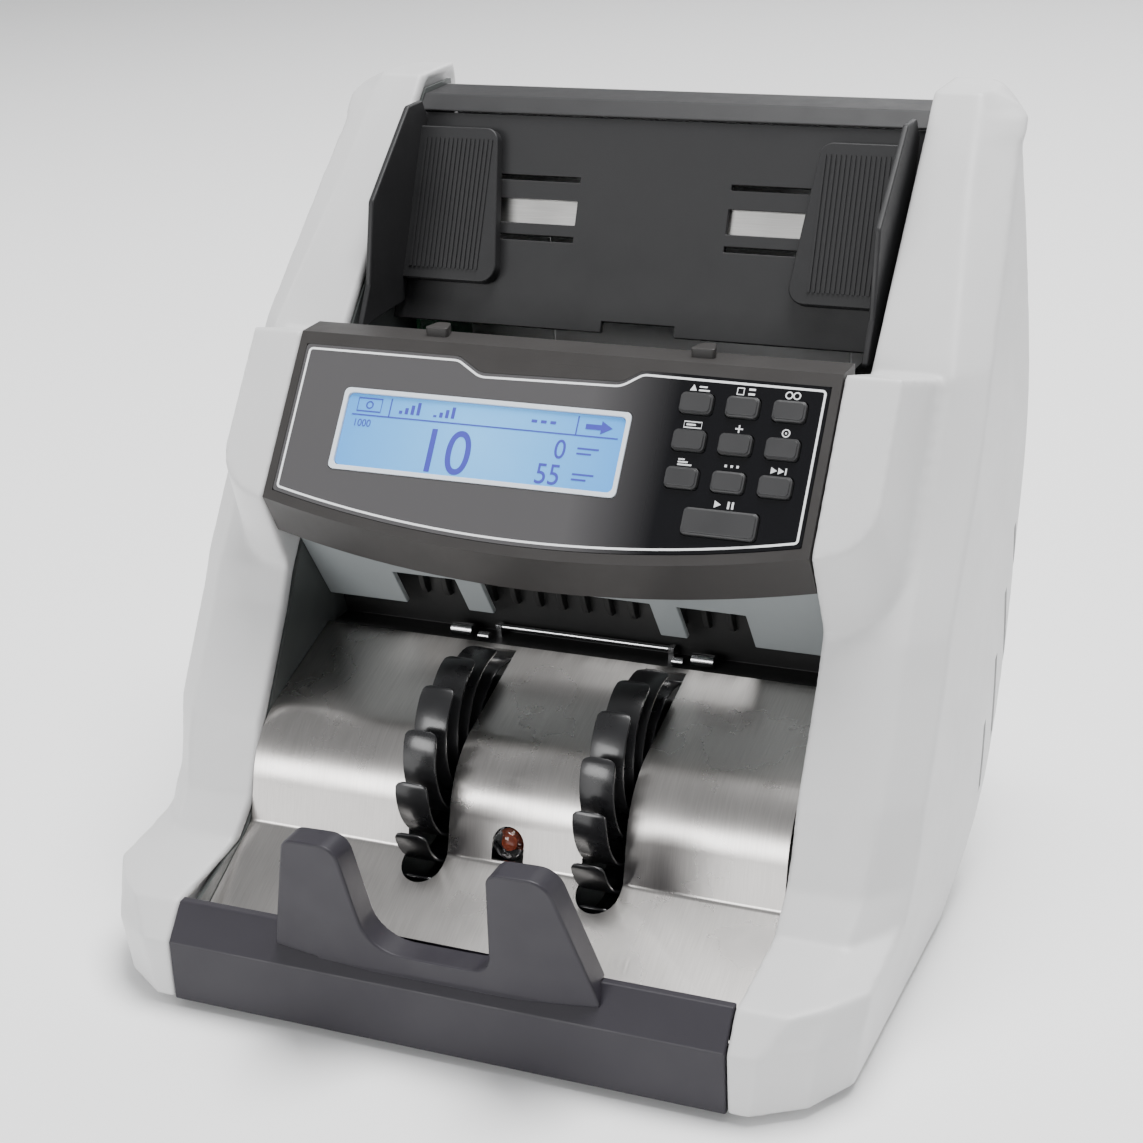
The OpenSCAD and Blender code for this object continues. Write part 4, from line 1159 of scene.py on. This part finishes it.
def keyMarks():
    # One plain sign over each key, in the order of the keys
    f = film
    bm = bmesh.new()
    h0, h1 = 0.0, 0.06

    def mark(i, paths=(), solids=()):
        x0, v0 = keyPlace(i) if i < 9 else f["runKey"]
        v0 -= 5.6 if i < 9 else 6.6
        for path in paths:
            ribbonOn(bm, onConsole, [(x0 + x, v0 + v) for x, v in path], 0.42, h0, h1)
        for solid in solids:
            slabOf(bm, [(x0 + x, v0 + v) for x, v in solid], onConsole, h0, h1)

    def bar(x0, v0, x1, v1):
        return [(x0, v0), (x1, v0), (x1, v1), (x0, v1)]

    mark(0, solids=[[(-3.4, 1.1), (-1.0, 1.1), (-2.2, -1.0)], bar(-0.3, 0.6, 3.4, 1.1),
                    bar(-0.3, -0.6, 2.4, -0.1)])
    mark(1, paths=[bar(-3, -1.1, -0.8, 1.1)], solids=[bar(0.8, -1.2, 3.0, -0.5), bar(0.8, 0.4, 3.0, 1.1)])
    mark(2, paths=[circle(-1.3, 0, 1.1), circle(1.3, 0, 1.1)])
    mark(3, paths=[bar(-3, -1, 3, 1)], solids=[bar(-2.2, -0.3, 1.0, 0.3)])
    mark(4, solids=[bar(-1.3, -0.24, 1.3, 0.24), bar(-0.24, -1.3, 0.24, -0.24), bar(-0.24, 0.24, 0.24, 1.3)])
    mark(5, paths=[circle(0, 0, 1.2)], solids=[bar(-0.3, -0.3, 0.3, 0.3)])
    mark(6, solids=[bar(-2.6, -1.1, -0.4, -0.6), bar(-2.6, -0.2, 0.8, 0.3), bar(-2.6, 0.7, 2.2, 1.2)])
    mark(7, solids=[bar(-2.4, -0.4, -1.6, 0.4), bar(-0.4, -0.4, 0.4, 0.4), bar(1.6, -0.4, 2.4, 0.4)])
    mark(8, solids=[[(-2.6, -1.1), (-0.6, 0), (-2.6, 1.1)], [(-0.2, -1.1), (1.8, 0), (-0.2, 1.1)],
                    bar(2.1, -1.1, 2.6, 1.1)])
    mark(9, solids=[[(-3.2, -1.2), (-1.0, 0), (-3.2, 1.2)], bar(1.2, -1.2, 1.9, 1.2),
                    bar(2.6, -1.2, 3.3, 1.2)])
    solidPiece("key_marks", bm, "print", "root", smooth=0)


makeDisplay()
keyMarks()
print("display and key marks made")

# Sensor lens
lensSet = {"x": 0.8, "z": 45.0, "y": 58.6, "radius": 5.2, "dome": 2.2, "bodyBack": 67.0}


def lathe(bm, profile, centre, steps=32):
    # profile: (distance along the axis, radius) from end to end, closed on the axis
    rings = []
    for d, r in profile:
        if r < 1e-6:
            rings.append([bm.verts.new(centre(d, 0, 0))])
        else:
            turns = [2 * math.pi * k / steps for k in range(steps)]
            rings.append([bm.verts.new(centre(d, r * math.cos(t), r * math.sin(t))) for t in turns])
    for a, b in zip(rings, rings[1:]):
        for k in range(steps):
            j = (k + 1) % steps
            if len(a) == 1:
                bm.faces.new((a[0], b[k], b[j]))
            elif len(b) == 1:
                bm.faces.new((a[k], a[j], b[0]))
            else:
                bm.faces.new((a[k], b[k], b[j], a[j]))


def makeLens():
    s = lensSet

    def fromLens(d, a, b):
        return at(s["x"] + a, s["y"] + d, s["z"] + b)
    bm = bmesh.new()
    turns = [k * math.pi / 12 for k in range(7)]
    dome = [(-s["dome"] * math.cos(t), s["radius"] * math.sin(t)) for t in turns]
    profile = dome + [(s["bodyBack"] - s["y"], s["radius"]), (s["bodyBack"] - s["y"], 0)]
    lathe(bm, profile, fromLens)
    clear = {"Base Color": (0.92, 0.9, 0.9, 1), "Transmission Weight": 1, "Roughness": 0.06, "IOR": 1.49}
    mat, tree, shader = baseMaterial("clearLens", clear)
    noise = objectNoise(tree, {"Scale": 260})
    addBump(tree, shader, noise.outputs["Fac"], 0.15, 0.0004)
    solidPiece("sensor_lens_finished", bm, mat, "root", ["sensor_lens"], smooth=50)
    bm = bmesh.new()
    lathe(bm, [(2.2, 0), (2.2, 2.2), (4.5, 2.6), (4.5, 0)], fromLens, 20)
    dieRed = moulded("sensorDie", (0.35, 0.06, 0.02), 0.35, grain=700)
    solidPiece("sensor_die", bm, dieRed, "root")


makeLens()
print("lens made")

# Painted shade: near-black sheets behind the vent slots, then clips and screws
# The first two entries place the near-black sheets of painted shade behind the vent slots
trims = {"shadeSheetX": (127.0, 128.2), "shadeSheetRim": 2.0, "clips": (-48.4, 48.4), "clip": (9.0, 7.0, 3.2),
         "clipY": 127.5, "clipZ": 197.6, "screwX": (-88, -30, 30, 88), "screwY": (10, 60, 130, 184), "screwZ": -0.55}


def makeTrims():
    rim = trims["shadeSheetRim"]
    for side, name in ((-1, "left"), (1, "right")):
        bm = bmesh.new()
        for y, z, tall in wall["vents"]:
            # One near-black sheet behind each vent slot, a rim larger all round: painted shade for the inside of the
            # cover
            front, back, low, high = y - rim, y + wall["ventWidth"] + rim, z - rim, z + tall + rim
            slabOf(bm, [(front, low), (back, low), (back, high), (front, high)],
                   lambda u, w, x: at(side * x, u, w), *trims["shadeSheetX"])
        solidPiece("vent_painted_shade_" + name, bm, "dark", "root")
    bm = bmesh.new()
    w, d, h = trims["clip"]
    front, top = trims["clipY"], trims["clipZ"]
    for x in trims["clips"]:
        clip = [(x - w / 2, front, 1), (x + w / 2, front, 1), (x + w / 2 - 2, front + d, 1.5),
                (x - w / 2 + 2, front + d, 1.5)]
        slabOf(bm, arcCorners(clip, 3), at, top - 0.4, top + h)
    solidPiece("console_clips", bm, "bezel", "root", bevel=0.4)
    points = [at(x, y, trims["screwZ"]) for x in trims["screwX"] for y in trims["screwY"]]
    obj = nodesObject("base_screws", "screws", {"Head Radius": 0.0027, "Head Height": 0.0011,
                                                "Turn": (math.pi, 0, 0), "Material": mats["can"]}, points)
    finishPiece(obj, "can", "root")


makeTrims()
print("trims made")
